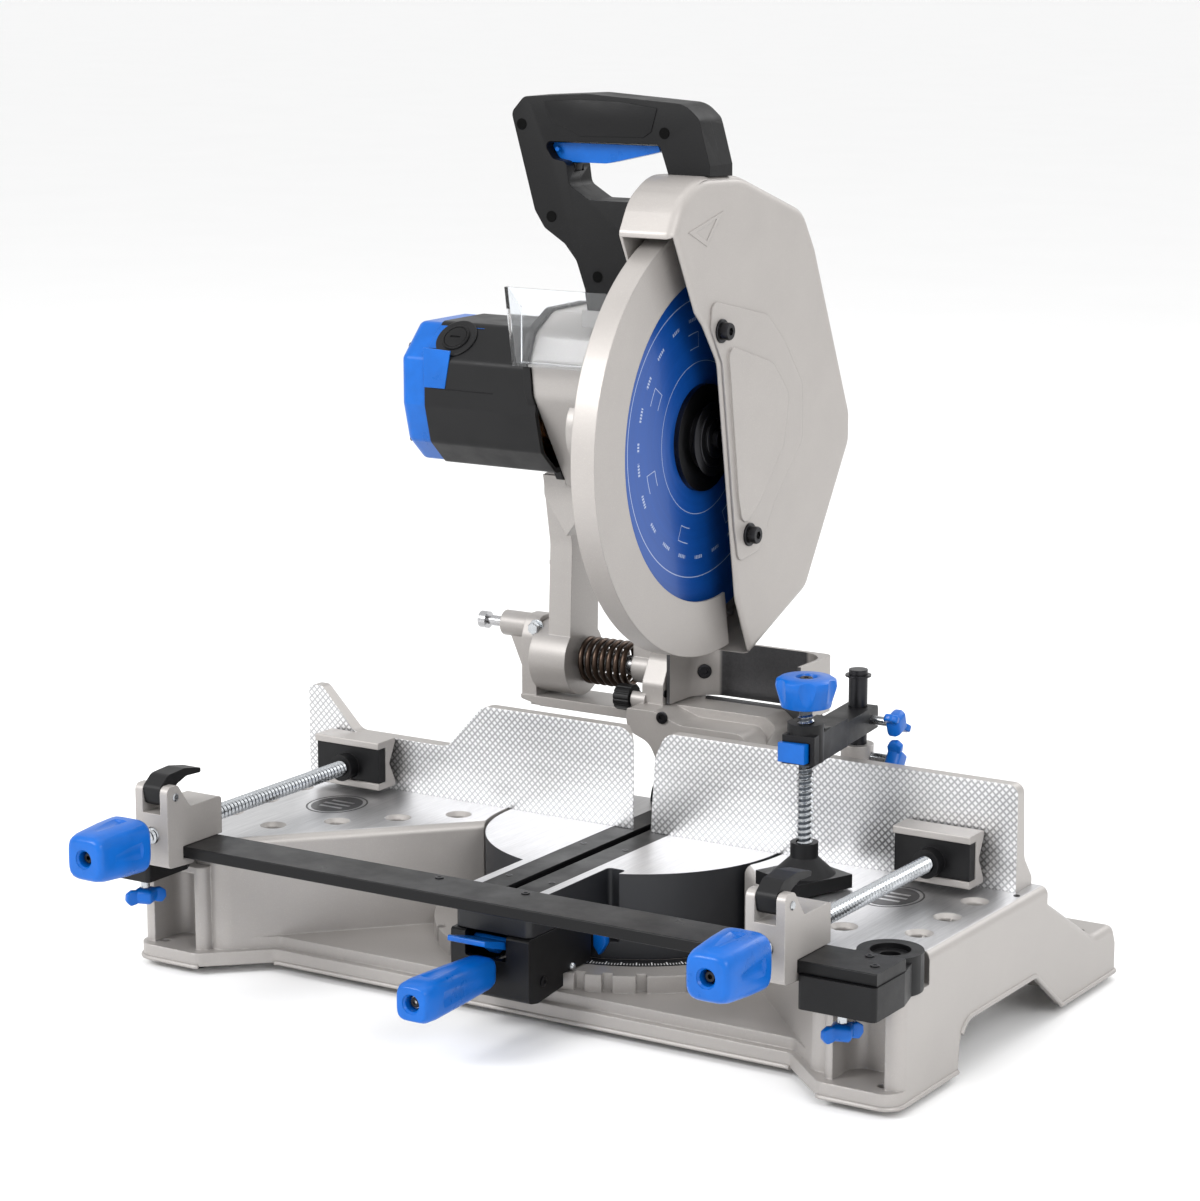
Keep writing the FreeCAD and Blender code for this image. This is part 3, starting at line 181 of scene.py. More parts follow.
# ---------------------------------------------------------------- basic shapes, shaped further
def turned(profile, start, axis, sides=40, name="turned"):
    """A lathed solid: profile is a list of (radius, distance along axis) in mm."""
    quiet()
    r0, t0 = profile[0]
    bpy.ops.mesh.primitive_circle_add(vertices=sides, radius=r0 / 1000, fill_type="NGON")
    obj = bpy.context.object
    edit()
    r, t = r0, t0
    for r1, t1 in profile[1:]:
        bpy.ops.mesh.extrude_region_move(TRANSFORM_OT_translate={"value": (0, 0, (t1 - t) / 1000)})
        k = max(r1, 0.01) / max(r, 0.01)
        bpy.ops.transform.resize(value=(k, k, 1), center_override=(0, 0, t1 / 1000 - t0 / 1000))
        r, t = r1, t1
    done()
    obj.name = name
    settle(obj, Matrix.Translation(mm(*start)) @ turn_to(axis) @ Matrix.Translation((0, 0, t0 / 1000)))
    return outward(obj)


def slab(lo, hi, name="slab", edge=0.0, segments=2):
    """A block between two corners, with its edges rounded."""
    quiet()
    a, b = mm(*lo), mm(*hi)
    bpy.ops.mesh.primitive_cube_add(size=1, location=(a + b) / 2)
    obj = bpy.context.object
    obj.scale = b - a
    obj.name = name
    settle(obj)
    return rounded(obj, edge, segments) if edge else obj


def plate(points, axis, low, high, name="plate", edge=0.0, segments=2):
    """A flat outline drawn out along an axis; points are the other two coordinates, mm."""
    quiet()
    n = len(points)
    bpy.ops.mesh.primitive_circle_add(vertices=n, radius=0.05, fill_type="NGON")
    obj = bpy.context.object
    place = {"x": lambda u, v: mm(low, u, v), "y": lambda u, v: mm(u, low, v),
             "z": lambda u, v: mm(u, v, low)}[axis]
    for vert, (u, v) in zip(obj.data.vertices, points):
        vert.co = place(u, v)
    move = (mm(high, 0, 0) - mm(low, 0, 0)) if axis == "x" else (
        (mm(0, high, 0) - mm(0, low, 0)) if axis == "y" else (mm(0, 0, high) - mm(0, 0, low)))
    edit()
    bpy.ops.mesh.extrude_region_move(TRANSFORM_OT_translate={"value": move})
    done()
    obj.name = name
    outward(obj)
    return rounded(obj, edge, segments) if edge else obj


def carve(obj, tool, operation="DIFFERENCE"):
    modify(obj, "BOOLEAN", object=tool, operation=operation, solver="EXACT")
    bpy.data.objects.remove(tool)
    return obj


def cap_screw(start, axis, r, h, key, washer=0.0, sides=28):
    """Socket head screw: start is under the head, axis points out of the work."""
    prof = [(r, 0), (r, h * 0.86), (r * 0.9, h), (r * 0.62, h)]
    if washer:
        prof = [(r * 1.6, 0), (r * 1.6, washer * 0.8), (r * 1.5, washer), (r, washer)] + [
            (a, b + washer) for a, b in prof[1:]]
    head = turned(prof, start, axis, sides, "cap_screw")
    top = h + washer
    tool = turned([(key, top - h * 0.55), (key, top + 1)], start, axis, 6, "key")
    return carve(head, tool)


def hex_bolt(start, axis, r, h, washer=1.2):
    """Hexagon head on a washer."""
    head = turned([(r, washer), (r, washer + h * 0.8), (r * 0.86, washer + h)], start, axis, 6, "hex")
    disc = turned([(r * 1.25, 0), (r * 1.25, washer * 0.8), (r * 1.18, washer)], start, axis, 28, "washer")
    return join("hex_bolt", [disc, head])


def ridge(start, axis, r_root, r_top, pitch, length, name):
    """A right-hand thread: a round core with a helical ridge wound on it."""
    quiet()
    turns = int(length / pitch) - 1
    bpy.ops.mesh.primitive_circle_add(vertices=4, radius=pitch * 0.34 / 1000)
    obj = bpy.context.object
    obj.rotation_euler = (math.radians(90), 0, 0)
    obj.location = ((r_root + 0.05) / 1000, 0, pitch * 0.5 / 1000)
    obj.scale = ((r_top - r_root) / (pitch * 0.34), 1, 1)
    bpy.ops.object.transform_apply(location=True, rotation=True, scale=True)
    modify(obj, "SCREW", axis="Z", steps=18, render_steps=18, screw_offset=pitch / 1000,
           iterations=turns, angle=2 * math.pi, use_merge_vertices=False)
    cap_ends()
    settle(obj, Matrix.Translation(mm(*start)) @ turn_to(axis))
    outward(obj)
    core = turned([(r_root * 0.8, 0), (r_root + 0.06, 1.2), (r_root + 0.06, length - 1.2),
                   (r_root * 0.8, length)], start, axis, 28, "core")
    core.name, obj.name = name + "_core", name
    return core, obj


def refined(node, name, edge, segments=2, angle=35):
    """A clean copy of a CAD node's mesh with its edges rounded."""
    quiet()
    src = NODES[node]
    obj = src.copy()
    obj.data = src.data.copy()
    obj.parent = None
    obj.matrix_world = Matrix.Identity(4)
    for key in list(obj.keys()):
        del obj[key]
    bpy.context.scene.collection.objects.link(obj)
    obj.name = name
    pick(obj)
    edit()
    bpy.ops.mesh.remove_doubles(threshold=0.000008)
    bpy.ops.mesh.dissolve_limited(angle_limit=math.radians(0.6))
    done()
    if edge:
        modify(obj, "BEVEL", width=edge / 1000, segments=segments, limit_method="ANGLE",
               angle_limit=math.radians(angle), use_clamp_overlap=True)
    return obj


# ---------------------------------------------------------------- shader groups
class Wires:
    """Short hand for building a node tree."""

    def __init__(self, tree):
        self.tree = tree
        self.nodes = tree.nodes
        self.links = tree.links

    def add(self, kind, **values):
        node = self.nodes.new(kind)
        for key, value in values.items():
            setattr(node, key, value)
        return node

    def put(self, node, **inputs):
        for key, value in inputs.items():
            socket = node.inputs[int(key[1:])] if key[0] == "_" and key[1:].isdigit() else \
                node.inputs[key.replace("_", " ")]
            if isinstance(value, bpy.types.NodeSocket):
                self.links.new(value, socket)
            else:
                socket.default_value = value
        return node

    def maths(self, operation, a, b=0.0, clamp=False):
        node = self.add("ShaderNodeMath", operation=operation, use_clamp=clamp)
        self.put(node, _0=a, _1=b)
        return node.outputs[0]

    def times(self, a, b, clamp=False):
        return self.maths("MULTIPLY", a, b, clamp)

    def plus(self, a, b, clamp=False):
        return self.maths("ADD", a, b, clamp)

    def minus(self, a, b, clamp=False):
        return self.maths("SUBTRACT", a, b, clamp)

    def above(self, a, b):
        return self.maths("GREATER_THAN", a, b)

    def below(self, a, b):
        return self.maths("LESS_THAN", a, b)

    def larger(self, a, b):
        return self.maths("MAXIMUM", a, b)

    def fraction(self, a):
        return self.maths("FRACT", a)

    def between(self, value, low, high):
        return self.times(self.above(value, low), self.below(value, high))

    def ramp(self, value, low, high):
        node = self.add("ShaderNodeMapRange")
        node.clamp = True
        self.put(node, Value=value, From_Min=low, From_Max=high)
        return node.outputs["Result"]

    def mix(self, factor, a, b):
        node = self.add("ShaderNodeMix", data_type="RGBA")
        for socket, value in zip((node.inputs[0], node.inputs[6], node.inputs[7]), (factor, a, b)):
            if isinstance(value, bpy.types.NodeSocket):
                self.links.new(value, socket)
            else:
                socket.default_value = value
        return node.outputs[2]

    def noise(self, vector, scale, detail=3.0, rough=0.55):
        node = self.add("ShaderNodeTexNoise")
        self.put(node, Vector=vector, Scale=scale, Detail=detail, Roughness=rough)
        return node.outputs[0]

    def stretch(self, vector, scale, turn=(0, 0, 0)):
        node = self.add("ShaderNodeMapping")
        self.put(node, Vector=vector, Scale=scale, Rotation=turn)
        return node.outputs[0]

    def parts(self, vector):
        node = self.add("ShaderNodeSeparateXYZ")
        self.put(node, _0=vector)
        return node.outputs


def group(name, inputs, outputs):
    """An empty shader group; inputs are (name, kind, default), outputs (name, kind)."""
    tree = bpy.data.node_groups.new(name, "ShaderNodeTree")
    for label, kind, default in inputs:
        socket = tree.interface.new_socket(label, in_out="INPUT", socket_type="NodeSocket" + kind)
        if default is not None:
            socket.default_value = default
    for label, kind in outputs:
        tree.interface.new_socket(label, in_out="OUTPUT", socket_type="NodeSocket" + kind)
    w = Wires(tree)
    return w, w.add("NodeGroupInput").outputs, w.add("NodeGroupOutput").inputs


def cast_skin():
    """Sand-cast and painted skin: fine orange-peel grain, soft mottling."""
    w, i, o = group("cast_skin", [("Vector", "Vector", None), ("Grain", "Float", 900.0)],
                    [("Height", "Float"), ("Mottle", "Float"), ("Specks", "Float")])
    fine = w.noise(i["Vector"], i["Grain"], 2.0, 0.6)
    coarse = w.noise(i["Vector"], 130.0, 3.0, 0.5)
    w.links.new(w.plus(w.times(fine, 0.75), w.times(coarse, 0.25)), o["Height"])
    w.links.new(w.noise(i["Vector"], 22.0, 4.0, 0.55), o["Mottle"])
    w.links.new(w.ramp(w.noise(i["Vector"], 2100.0, 1.0), 0.62, 0.74), o["Specks"])
    return w.tree


def edge_wear():
    """Mask of rubbed edges, from how far the rounded normal leaves the flat one."""
    w, i, o = group("edge_wear", [("Vector", "Vector", None), ("Flat", "Vector", None),
                                  ("Round", "Vector", None), ("Amount", "Float", 0.5)], [("Mask", "Float")])
    dot = w.add("ShaderNodeVectorMath", operation="DOT_PRODUCT")
    w.put(dot, _0=i["Flat"], _1=i["Round"])
    edge = w.ramp(w.minus(1.0, dot.outputs["Value"]), 0.03, 0.22)
    broken = w.ramp(w.noise(i["Vector"], 260.0, 4.0, 0.65), 0.42, 0.66)
    w.links.new(w.times(w.times(edge, broken), i["Amount"], True), o["Mask"])
    return w.tree


def brushing():
    """Fine scratches all one way, given a vector already stretched along them."""
    w, i, o = group("brushing", [("Vector", "Vector", None)], [("Height", "Float"), ("Tone", "Float")])
    a = w.noise(i["Vector"], 1.0, 5.0, 0.7)
    b = w.noise(i["Vector"], 0.22, 3.0, 0.6)
    w.links.new(w.plus(w.times(a, 0.7), w.times(b, 0.3)), o["Height"])
    w.links.new(b, o["Tone"])
    return w.tree


def cross_cut():
    """Crossed milling marks in the plane of two coordinates, as on a milled fence face."""
    w, i, o = group("cross_cut", [("U", "Float", 0.0), ("V", "Float", 0.0), ("Pitch", "Float", 0.004)],
                    [("Height", "Float"), ("Tone", "Float")])

    def lines(sign):
        k = w.plus(i["U"], w.times(i["V"], sign))
        saw = w.fraction(w.maths("DIVIDE", k, i["Pitch"]))
        return w.maths("ABSOLUTE", w.minus(saw, 0.5))
    a, b = lines(1.05), lines(-0.95)
    both = w.larger(a, b)
    w.links.new(both, o["Height"])
    w.links.new(w.ramp(both, 0.24, 0.42), o["Tone"])
    return w.tree


def moulded():
    """Spark-eroded mould grain of plastic parts, with a little handling shine."""
    w, i, o = group("moulded", [("Vector", "Vector", None), ("Grain", "Float", 1500.0)],
                    [("Height", "Float"), ("Shine", "Float")])
    cells = w.add("ShaderNodeTexVoronoi", feature="SMOOTH_F1")
    w.put(cells, Vector=i["Vector"], Scale=i["Grain"])
    w.links.new(cells.outputs["Distance"], o["Height"])
    w.links.new(w.ramp(w.noise(i["Vector"], 35.0, 4.0, 0.6), 0.35, 0.7), o["Shine"])
    return w.tree


def dusting():
    """Light dust that settles on upward faces and in blotches."""
    w, i, o = group("dusting", [("Vector", "Vector", None), ("Normal", "Vector", None),
                                ("Amount", "Float", 0.1)], [("Mask", "Float")])
    up = w.ramp(w.parts(i["Normal"])[2], 0.2, 0.95)
    patch = w.ramp(w.noise(i["Vector"], 14.0, 6.0, 0.65), 0.45, 0.75)
    w.links.new(w.times(w.times(up, patch), i["Amount"], True), o["Mask"])
    return w.tree


GROUPS = {f.__name__: f() for f in (cast_skin, edge_wear, brushing, cross_cut, moulded, dusting)}


def start(name, base, metallic, rough, coat=0.0, ior=1.5):
    """A material with its Principled shader; returns the wires, shader, object vector, Geometry."""
    mat = bpy.data.materials.new(name)
    mat.use_nodes = True
    w = Wires(mat.node_tree)
    bsdf = mat.node_tree.nodes["Principled BSDF"]
    w.put(bsdf, Base_Color=(*base, 1), Metallic=metallic, Roughness=rough, IOR=ior, Coat_Weight=coat)
    where = w.add("ShaderNodeTexCoord").outputs["Object"]
    geo = w.add("ShaderNodeNewGeometry")
    return mat, w, bsdf, where, geo


def use(w, name, **inputs):
    node = w.add("ShaderNodeGroup")
    node.node_tree = GROUPS[name]
    return w.put(node, **inputs).outputs


def bumped(w, bsdf, height, strength, distance, soft=None):
    bump = w.add("ShaderNodeBump")
    w.put(bump, Height=height, Strength=strength, Distance=distance)
    if soft is not None:
        w.links.new(soft, bump.inputs["Normal"])
    w.put(bsdf, Normal=bump.outputs[0])
    return bump


def soft_edges(w, radius):
    node = w.add("ShaderNodeBevel", samples=4)
    w.put(node, Radius=radius)
    return node.outputs[0]


# ---------------------------------------------------------------- finishes
def painted_casting(name, base, metallic=0.35, rough=0.42, wear=0.35, edge=0.0012, machined=None):
    """Metallic paint over cast aluminium. machined = (axis, sign, low, high, style) bares the faces that
    look along the signed axis between two heights in metres; style is brushed, cross or dark."""
    mat, w, bsdf, where, geo = start(name, base, metallic, rough, coat=0.05)
    soft = soft_edges(w, edge)
    skin = use(w, "cast_skin", Vector=where, Grain=900.0)
    worn = use(w, "edge_wear", Vector=where, Flat=geo.outputs["Normal"], Round=soft, Amount=wear)
    dust = use(w, "dusting", Vector=where, Normal=geo.outputs["Normal"], Amount=0.12)
    dark = tuple(c * 0.86 for c in base) + (1,)
    colour = w.mix(skin["Mottle"], dark, (*base, 1))
    colour = w.mix(w.times(skin["Specks"], 0.22), colour,
                   tuple(min(0.9, c * 2.2) for c in base) + (1,))
    colour = w.mix(worn["Mask"], colour, (0.72, 0.70, 0.67, 1))
    colour = w.mix(dust["Mask"], colour, (base[0] * 1.3, base[1] * 1.3, base[2] * 1.3, 1))
    roughness = w.plus(rough - 0.05, w.times(skin["Mottle"], 0.12))
    metal = w.plus(metallic, w.times(worn["Mask"], 1 - metallic))
    height = skin["Height"]
    if machined:
        axis, sign, low, high, style = machined
        k = "xyz".index(axis)
        facing = w.ramp(w.times(w.parts(geo.outputs["Normal"])[k], sign), 0.96, 0.99)
        at = w.parts(where)[k]
        band = w.times(w.above(at, low), w.below(at, high))
        bare = w.times(facing, band)
        shades = ((0.03, 0.03, 0.032, 1), (0.12, 0.12, 0.125, 1)) if style == "dark" else (
            (0.27, 0.27, 0.28, 1), (0.86, 0.86, 0.865, 1))
        if style == "cross":
            cut = use(w, "cross_cut", U=w.parts(where)[0], V=w.parts(where)[2], Pitch=0.0062)
            tone, relief = cut["Tone"], cut["Height"]
            fine = use(w, "brushing", Vector=w.stretch(where, (60, 900, 900)))
            tone = w.plus(w.times(w.minus(1.0, tone), 0.75), w.times(fine["Tone"], 0.35))
        else:
            fine = use(w, "brushing", Vector=w.stretch(where, (1400, 40, 1400)))
            tone, relief = fine["Height"], fine["Height"]
        metal_colour = w.mix(tone, *shades)
        colour = w.mix(bare, colour, metal_colour)
        roughness = w.plus(w.times(roughness, w.minus(1.0, bare)),
                            w.times(bare, w.plus(0.30, w.times(tone, 0.2))))
        metal = w.larger(metal, bare)
        height = w.plus(w.times(height, w.minus(1.0, bare)),
                         w.times(relief, bare))
    w.put(bsdf, Base_Color=colour)
    w.put(bsdf, Roughness=roughness)
    w.put(bsdf, Metallic=metal)
    bumped(w, bsdf, height, 0.35, 0.0002, soft)
    return mat


def plastic(name, base, rough=0.5, grain=1500.0, strength=0.25, wear=0.25, edge=0.0007, coat=0.0,
            dust=0.1, shine=0.5):
    """Moulded plastic with mould grain, handling shine and rubbed edges."""
    mat, w, bsdf, where, geo = start(name, base, 0.0, rough, coat=coat, ior=1.46)
    w.put(bsdf, Specular_IOR_Level=shine)
    soft = soft_edges(w, edge)
    skin = use(w, "moulded", Vector=where, Grain=grain)
    worn = use(w, "edge_wear", Vector=where, Flat=geo.outputs["Normal"], Round=soft, Amount=wear)
    settled = use(w, "dusting", Vector=where, Normal=geo.outputs["Normal"], Amount=dust)
    pale = tuple(min(1.0, c * 1.5 + 0.03) for c in base) + (1,)
    deep = tuple(c * 0.8 for c in base) + (1,)
    colour = w.mix(skin["Shine"], (*base, 1), deep)
    colour = w.mix(worn["Mask"], colour, pale)
    colour = w.mix(settled["Mask"], colour, (0.40, 0.39, 0.37, 1))
    w.put(bsdf, Base_Color=colour)
    w.put(bsdf, Roughness=w.minus(rough + 0.05, w.times(skin["Shine"], 0.12)))
    bumped(w, bsdf, skin["Height"], strength, 0.00012, soft)
    return mat


def bare_metal(name, base, rough=0.28, axis="x", edge=0.0003, dirt=0.3):
    """Turned or brushed metal, scratches running round or along an axis."""
    mat, w, bsdf, where, _ = start(name, base, 1.0, rough)
    scale = {"x": (1600, 60, 60), "y": (60, 1600, 60), "z": (60, 60, 1600), "n": (700, 700, 700)}[axis]
    soft = soft_edges(w, edge)
    fine = use(w, "brushing", Vector=w.stretch(where, scale))
    stain = w.ramp(w.noise(where, 60.0, 4.0, 0.6), 0.4, 0.8)
    dark = tuple(c * 0.62 for c in base) + (1,)
    colour = w.mix(w.times(fine["Height"], 0.6), (*base, 1), dark)
    colour = w.mix(w.times(stain, dirt), colour, dark)
    w.put(bsdf, Base_Color=colour)
    w.put(bsdf, Roughness=w.plus(rough - 0.06, w.times(fine["Height"], 0.18)))
    bumped(w, bsdf, fine["Height"], 0.2, 0.00006, soft)
    return mat


def scale_ring(mat):
    """Adds the black degree ring round the turntable, with white ticks, to a finished casting."""
    w = Wires(mat.node_tree)
    bsdf = mat.node_tree.nodes["Principled BSDF"]
    old = bsdf.inputs["Base Color"].links[0].from_socket
    p = w.parts(w.add("ShaderNodeTexCoord").outputs["Object"])
    y = w.minus(p[1], FENCE_Y / 1000)
    radius = w.maths("SQRT", w.plus(w.times(p[0], p[0]), w.times(y, y)))
    turn = w.times(w.maths("ARCTAN2", p[0], w.times(y, -1.0)), 180 / math.pi)

    def every(step, half):
        away = w.maths("ABSOLUTE", w.minus(w.fraction(w.plus(w.maths(
            "DIVIDE", turn, step), 0.5)), 0.5))
        return w.below(away, half / step)
    ring = w.times(w.between(radius, 0.1352, 0.1535), w.between(p[2], 0.0448, 0.0452))
    ring = w.times(ring, w.between(turn, -58.0, 58.0))
    ticks = w.larger(w.times(every(1.0, 0.14), w.between(radius, 0.1455, 0.1500)),
                     w.times(every(5.0, 0.2), w.between(radius, 0.1425, 0.1500)))
    ticks = w.times(ticks, w.between(turn, -50.5, 50.5))
    colour = w.mix(ring, old, w.mix(ticks, (0.006, 0.006, 0.007, 1), (0.75, 0.75, 0.75, 1)))
    w.put(bsdf, Base_Color=colour)
    metal = bsdf.inputs["Metallic"].links[0].from_socket
    w.put(bsdf, Metallic=w.times(metal, w.minus(1.0, ring)))
    return mat


def blade_finish():
    """Blue printed blade body with bare ground teeth, radial grinding and plain printed marks."""
    mat, w, bsdf, where, _ = start("blade_blue", (0.004, 0.062, 0.30), 0.2, 0.28, coat=0.1)
    p = w.parts(where)
    y = w.minus(p[1], (97.5 + FENCE_Y) / 1000)
    z = w.minus(p[2], 0.4515)
    radius = w.maths("SQRT", w.plus(w.times(y, y), w.times(z, z)))
    angle = w.maths("ARCTAN2", z, y)
    polar = w.add("ShaderNodeCombineXYZ")
    w.put(polar, X=w.times(radius, 1500.0), Y=w.times(angle, 1.2))
    rings = use(w, "brushing", Vector=polar.outputs[0])
    rim = w.ramp(radius, 0.1625, 0.1632)

    def band(low, high):
        return w.between(radius, low, high)
    ink = w.larger(band(0.1225, 0.1233), band(0.0668, 0.0674))
    step = w.fraction(w.times(angle, 3.6))
    dashes = w.times(w.times(w.below(step, 0.42), band(0.104, 0.107)),
                     w.above(w.fraction(w.times(angle, 38.0)), 0.35))
    share = w.fraction(w.times(angle, 1.1))
    blocks = w.times(w.above(share, 0.8), band(0.080, 0.094))
    outline = w.minus(blocks, w.times(w.above(share, 0.808), band(0.0808, 0.0932)), True)
    ink = w.larger(w.larger(ink, dashes), outline)
    blue = w.mix(rings["Tone"], (0.003, 0.052, 0.25, 1), (0.005, 0.072, 0.34, 1))
    steel = w.mix(rings["Height"], (0.30, 0.30, 0.31, 1), (0.74, 0.74, 0.75, 1))
    colour = w.mix(w.times(ink, 0.6), blue, (0.55, 0.62, 0.75, 1))
    colour = w.mix(rim, colour, steel)
    w.put(bsdf, Base_Color=colour)
    w.put(bsdf, Metallic=w.plus(0.2, w.times(rim, 0.8), True))
    w.put(bsdf, Roughness=w.plus(0.24, w.times(rings["Height"], 0.14)))
    bumped(w, bsdf, rings["Height"], 0.12, 0.00005)
    return mat


def clear_sheet():
    """Clear polycarbonate with faint surface ripple and scuffs."""
    mat, w, bsdf, where, _ = start("clear_sheet", (0.93, 0.96, 0.98), 0.0, 0.06, ior=1.45)
    w.put(bsdf, Transmission_Weight=1.0)
    scuffs = w.ramp(w.noise(w.stretch(where, (300, 300, 40)), 1.0, 5.0, 0.7), 0.55, 0.8)
    w.put(bsdf, Roughness=w.plus(0.04, w.times(scuffs, 0.22)))
    w.put(bsdf, Base_Color=w.mix(scuffs, (0.95, 0.97, 0.99, 1), (0.82, 0.86, 0.9, 1)))
    bumped(w, bsdf, w.noise(where, 45.0, 2.0), 0.1, 0.0006)
    return mat


GREY = (0.375, 0.355, 0.340)
FINISH = {
    "casting": painted_casting("casting_grey", GREY),
    "base": scale_ring(painted_casting("base_grey", GREY, edge=0.002,
                                       machined=("z", 1, 0.1185, 0.1195, "brushed"))),
    "scoop": painted_casting("scoop_grey", GREY, machined=("y", -1, 0.175, 0.240, "dark")),
    "apron": painted_casting("apron_dark", (0.05, 0.05, 0.052), 0.6, 0.32, 0.1),
    # near-black matte, no dust, almost no shine: painted shade that stands in for the darkness inside screw
    # holes and recesses
    "hollow": plastic("hollow_black", (0.0008, 0.0008, 0.0008), 0.8, dust=0.0, shine=0.1),
    # dark finish for the screw cores between the thread ridges: painted shade in the grooves, much darker
    # than the zinc of the ridges
    "thread_groove_shade": bare_metal("thread_groove_shade", (0.09, 0.10, 0.115), 0.4, "n"),
    "fence": painted_casting("fence_grey", GREY, machined=("y", -1, 0.0355, 0.0375, "cross")),
    "table": painted_casting("table_dark_grey", (0.010, 0.011, 0.014), 0.1, 0.5, 0.03,
                             machined=("z", 1, 0.1185, 0.1195, "brushed")),
    "cover": painted_casting("cover_grey", (0.385, 0.362, 0.345), 0.3, 0.42, 0.15, 0.0015),
    "black": plastic("black_nylon", (0.0035, 0.0035, 0.0042), 0.46, dust=0.006, shine=0.3),
    "grip_black": plastic("grip_black", (0.0035, 0.0035, 0.0040), 0.5, 900.0, 0.5, dust=0.006, shine=0.22),
    "blue": plastic("blue_plastic", (0.0, 0.105, 0.45), 0.32, 1700.0, 0.15, 0.2, coat=0.05, dust=0.01,
                    shine=0.3),
    "rail": plastic("rail_black", (0.004, 0.004, 0.0045), 0.34, 1200.0, 0.2, 0.15, dust=0.006, shine=0.22),
    "rubber": plastic("rubber_black", (0.010, 0.010, 0.010), 0.75, 700.0, 0.5),
    "zinc": bare_metal("zinc_plate", (0.50, 0.52, 0.54), 0.24, "n"),
    "steel": bare_metal("ground_steel", (0.50, 0.50, 0.51), 0.24, "x"),
    "dark_steel": bare_metal("black_oxide", (0.035, 0.035, 0.038), 0.34, "n"),
    "spring": bare_metal("spring_bronze", (0.075, 0.052, 0.040), 0.30, "n"),
    "copper": bare_metal("winding_copper", (0.55, 0.25, 0.10), 0.35, "x"),
    "blade": blade_finish(),
    "clear": clear_sheet(),
}

NODE_FINISH = {
    "base": ["base_casting"], "fence": ["fence_left", "fence_right"], "table": ["turntable"],
    "casting": ["yoke_casting", "gear_housing", "vice_body_left", "vice_body_right", "vice_jaw_left",
                "vice_jaw_right"],
    "scoop": ["chip_scoop"],
    "cover": ["upper_guard", "access_plate", "lower_guard"],
    "black": ["rail_brackets", "kerf_inserts", "arm_housing", "depth_stop_knob", "motor_housing",
              "vice_lever_left", "vice_lever_right", "vice_insert_left", "vice_insert_right", "clamp_arm",
              "clamp_foot", "bevel_lever"],
    "grip_black": ["handle_front", "handle_rear"], "rail": ["front_rail"], "rubber": ["rubber_feet"],
    "blue": ["rail_wing_left", "rail_wing_right", "mitre_grip", "mitre_paddle", "motor_end_cap", "trigger",
             "clamp_button", "clamp_knob", "clamp_arm_knob", "clamp_post_knob", "vice_knob_left",
             "vice_knob_right"],
    "steel": ["pivot_bolt", "mitre_lock_rod", "bevel_shaft", "lock_pin", "pivot_shaft", "armature",
              "spindle"],
    "zinc": ["vice_screw_left", "vice_screw_right", "clamp_screw"],
    "dark_steel": ["inner_flange", "outer_flange", "arbor_bolt", "clamp_post"],
    "spring": ["torsion_spring"], "copper": ["stator"], "blade": ["saw_blade"], "clear": ["chip_shield"],
}


def paint(obj, material):
    obj.data.materials.clear()
    obj.data.materials.append(material)


# ---------------------------------------------------------------- sizes a user may change
class SawSettings(bpy.types.PropertyGroup):
    """Sizes and colours of the added detail"""
    thread_pitch: bpy.props.FloatProperty(name="Thread pitch",
                                          description="Pitch of the vice and clamp screws",
                                          default=0.0048, min=0.002, max=0.006, unit="LENGTH")
    spring_wire: bpy.props.FloatProperty(name="Spring wire", description="Wire diameter of the head spring",
                                         default=0.0054, min=0.003, max=0.006, unit="LENGTH")
    grip_rounding: bpy.props.FloatProperty(name="Grip rounding", description="Rounding of the handle's edges",
                                           default=0.006, min=0.001, max=0.008, unit="LENGTH")
    badge_tone: bpy.props.FloatVectorProperty(name="Badge colour",
                                              description="Colour of the plain oval badges",
                                              default=(0.03, 0.03, 0.032), subtype="COLOR", size=3)


# ---------------------------------------------------------------- operators
class SawThreads(bpy.types.Operator):
    """Cuts real threads on the vice screws and the clamp screw"""
    bl_idname = "saw.threads"
    bl_label = "Threaded screws"

    def execute(self, context):
        pitch = context.scene.saw.thread_pitch * 1000
        for word, x in (("left", -294), ("right", 294)):
            # Each screw's core gets the dark groove finish, painted shade between the ridges.
            core, screw = ridge((x, -338, 143), BACK, 5.3, 6.95, pitch, 314, "vice_thread_" + word)
            mounted(screw, "vice_spin_" + word, FINISH["zinc"], "vice_screw_" + word)
            mounted(core, "vice_spin_" + word, FINISH["thread_groove_shade"])
        core, screw = ridge((*CLAMP, 132), UP, 5.3, 6.95, pitch, 139, "clamp_thread")
        mounted(screw, "clamp_spin", FINISH["zinc"], "clamp_screw")
        mounted(core, "clamp_spin", FINISH["thread_groove_shade"])
        return {"FINISHED"}


class SawSpring(bpy.types.Operator):
    """Winds the coils of the head spring"""
    bl_idname = "saw.spring"
    bl_label = "Head spring"

    def execute(self, context):
        wire = context.scene.saw.spring_wire * 500
        pitch = 7.6
        quiet()
        bpy.ops.mesh.primitive_circle_add(vertices=12, radius=wire / 1000)
        coil = bpy.context.object
        coil.rotation_euler = (math.radians(90), 0, 0)
        coil.location = (0.0195, 0, 0)
        bpy.ops.object.transform_apply(location=True, rotation=True, scale=True)
        modify(coil, "SCREW", axis="Z", steps=40, render_steps=40, screw_offset=pitch / 1000, iterations=7,
               angle=2 * math.pi)
        cap_ends()
        settle(coil, Matrix.Translation(mm(-163, 170, 220)) @ turn_to(RIGHT))
        outward(coil)
        mounted(coil, "yoke", FINISH["spring"], "torsion_spring", "head_spring_coil")
        return {"FINISHED"}


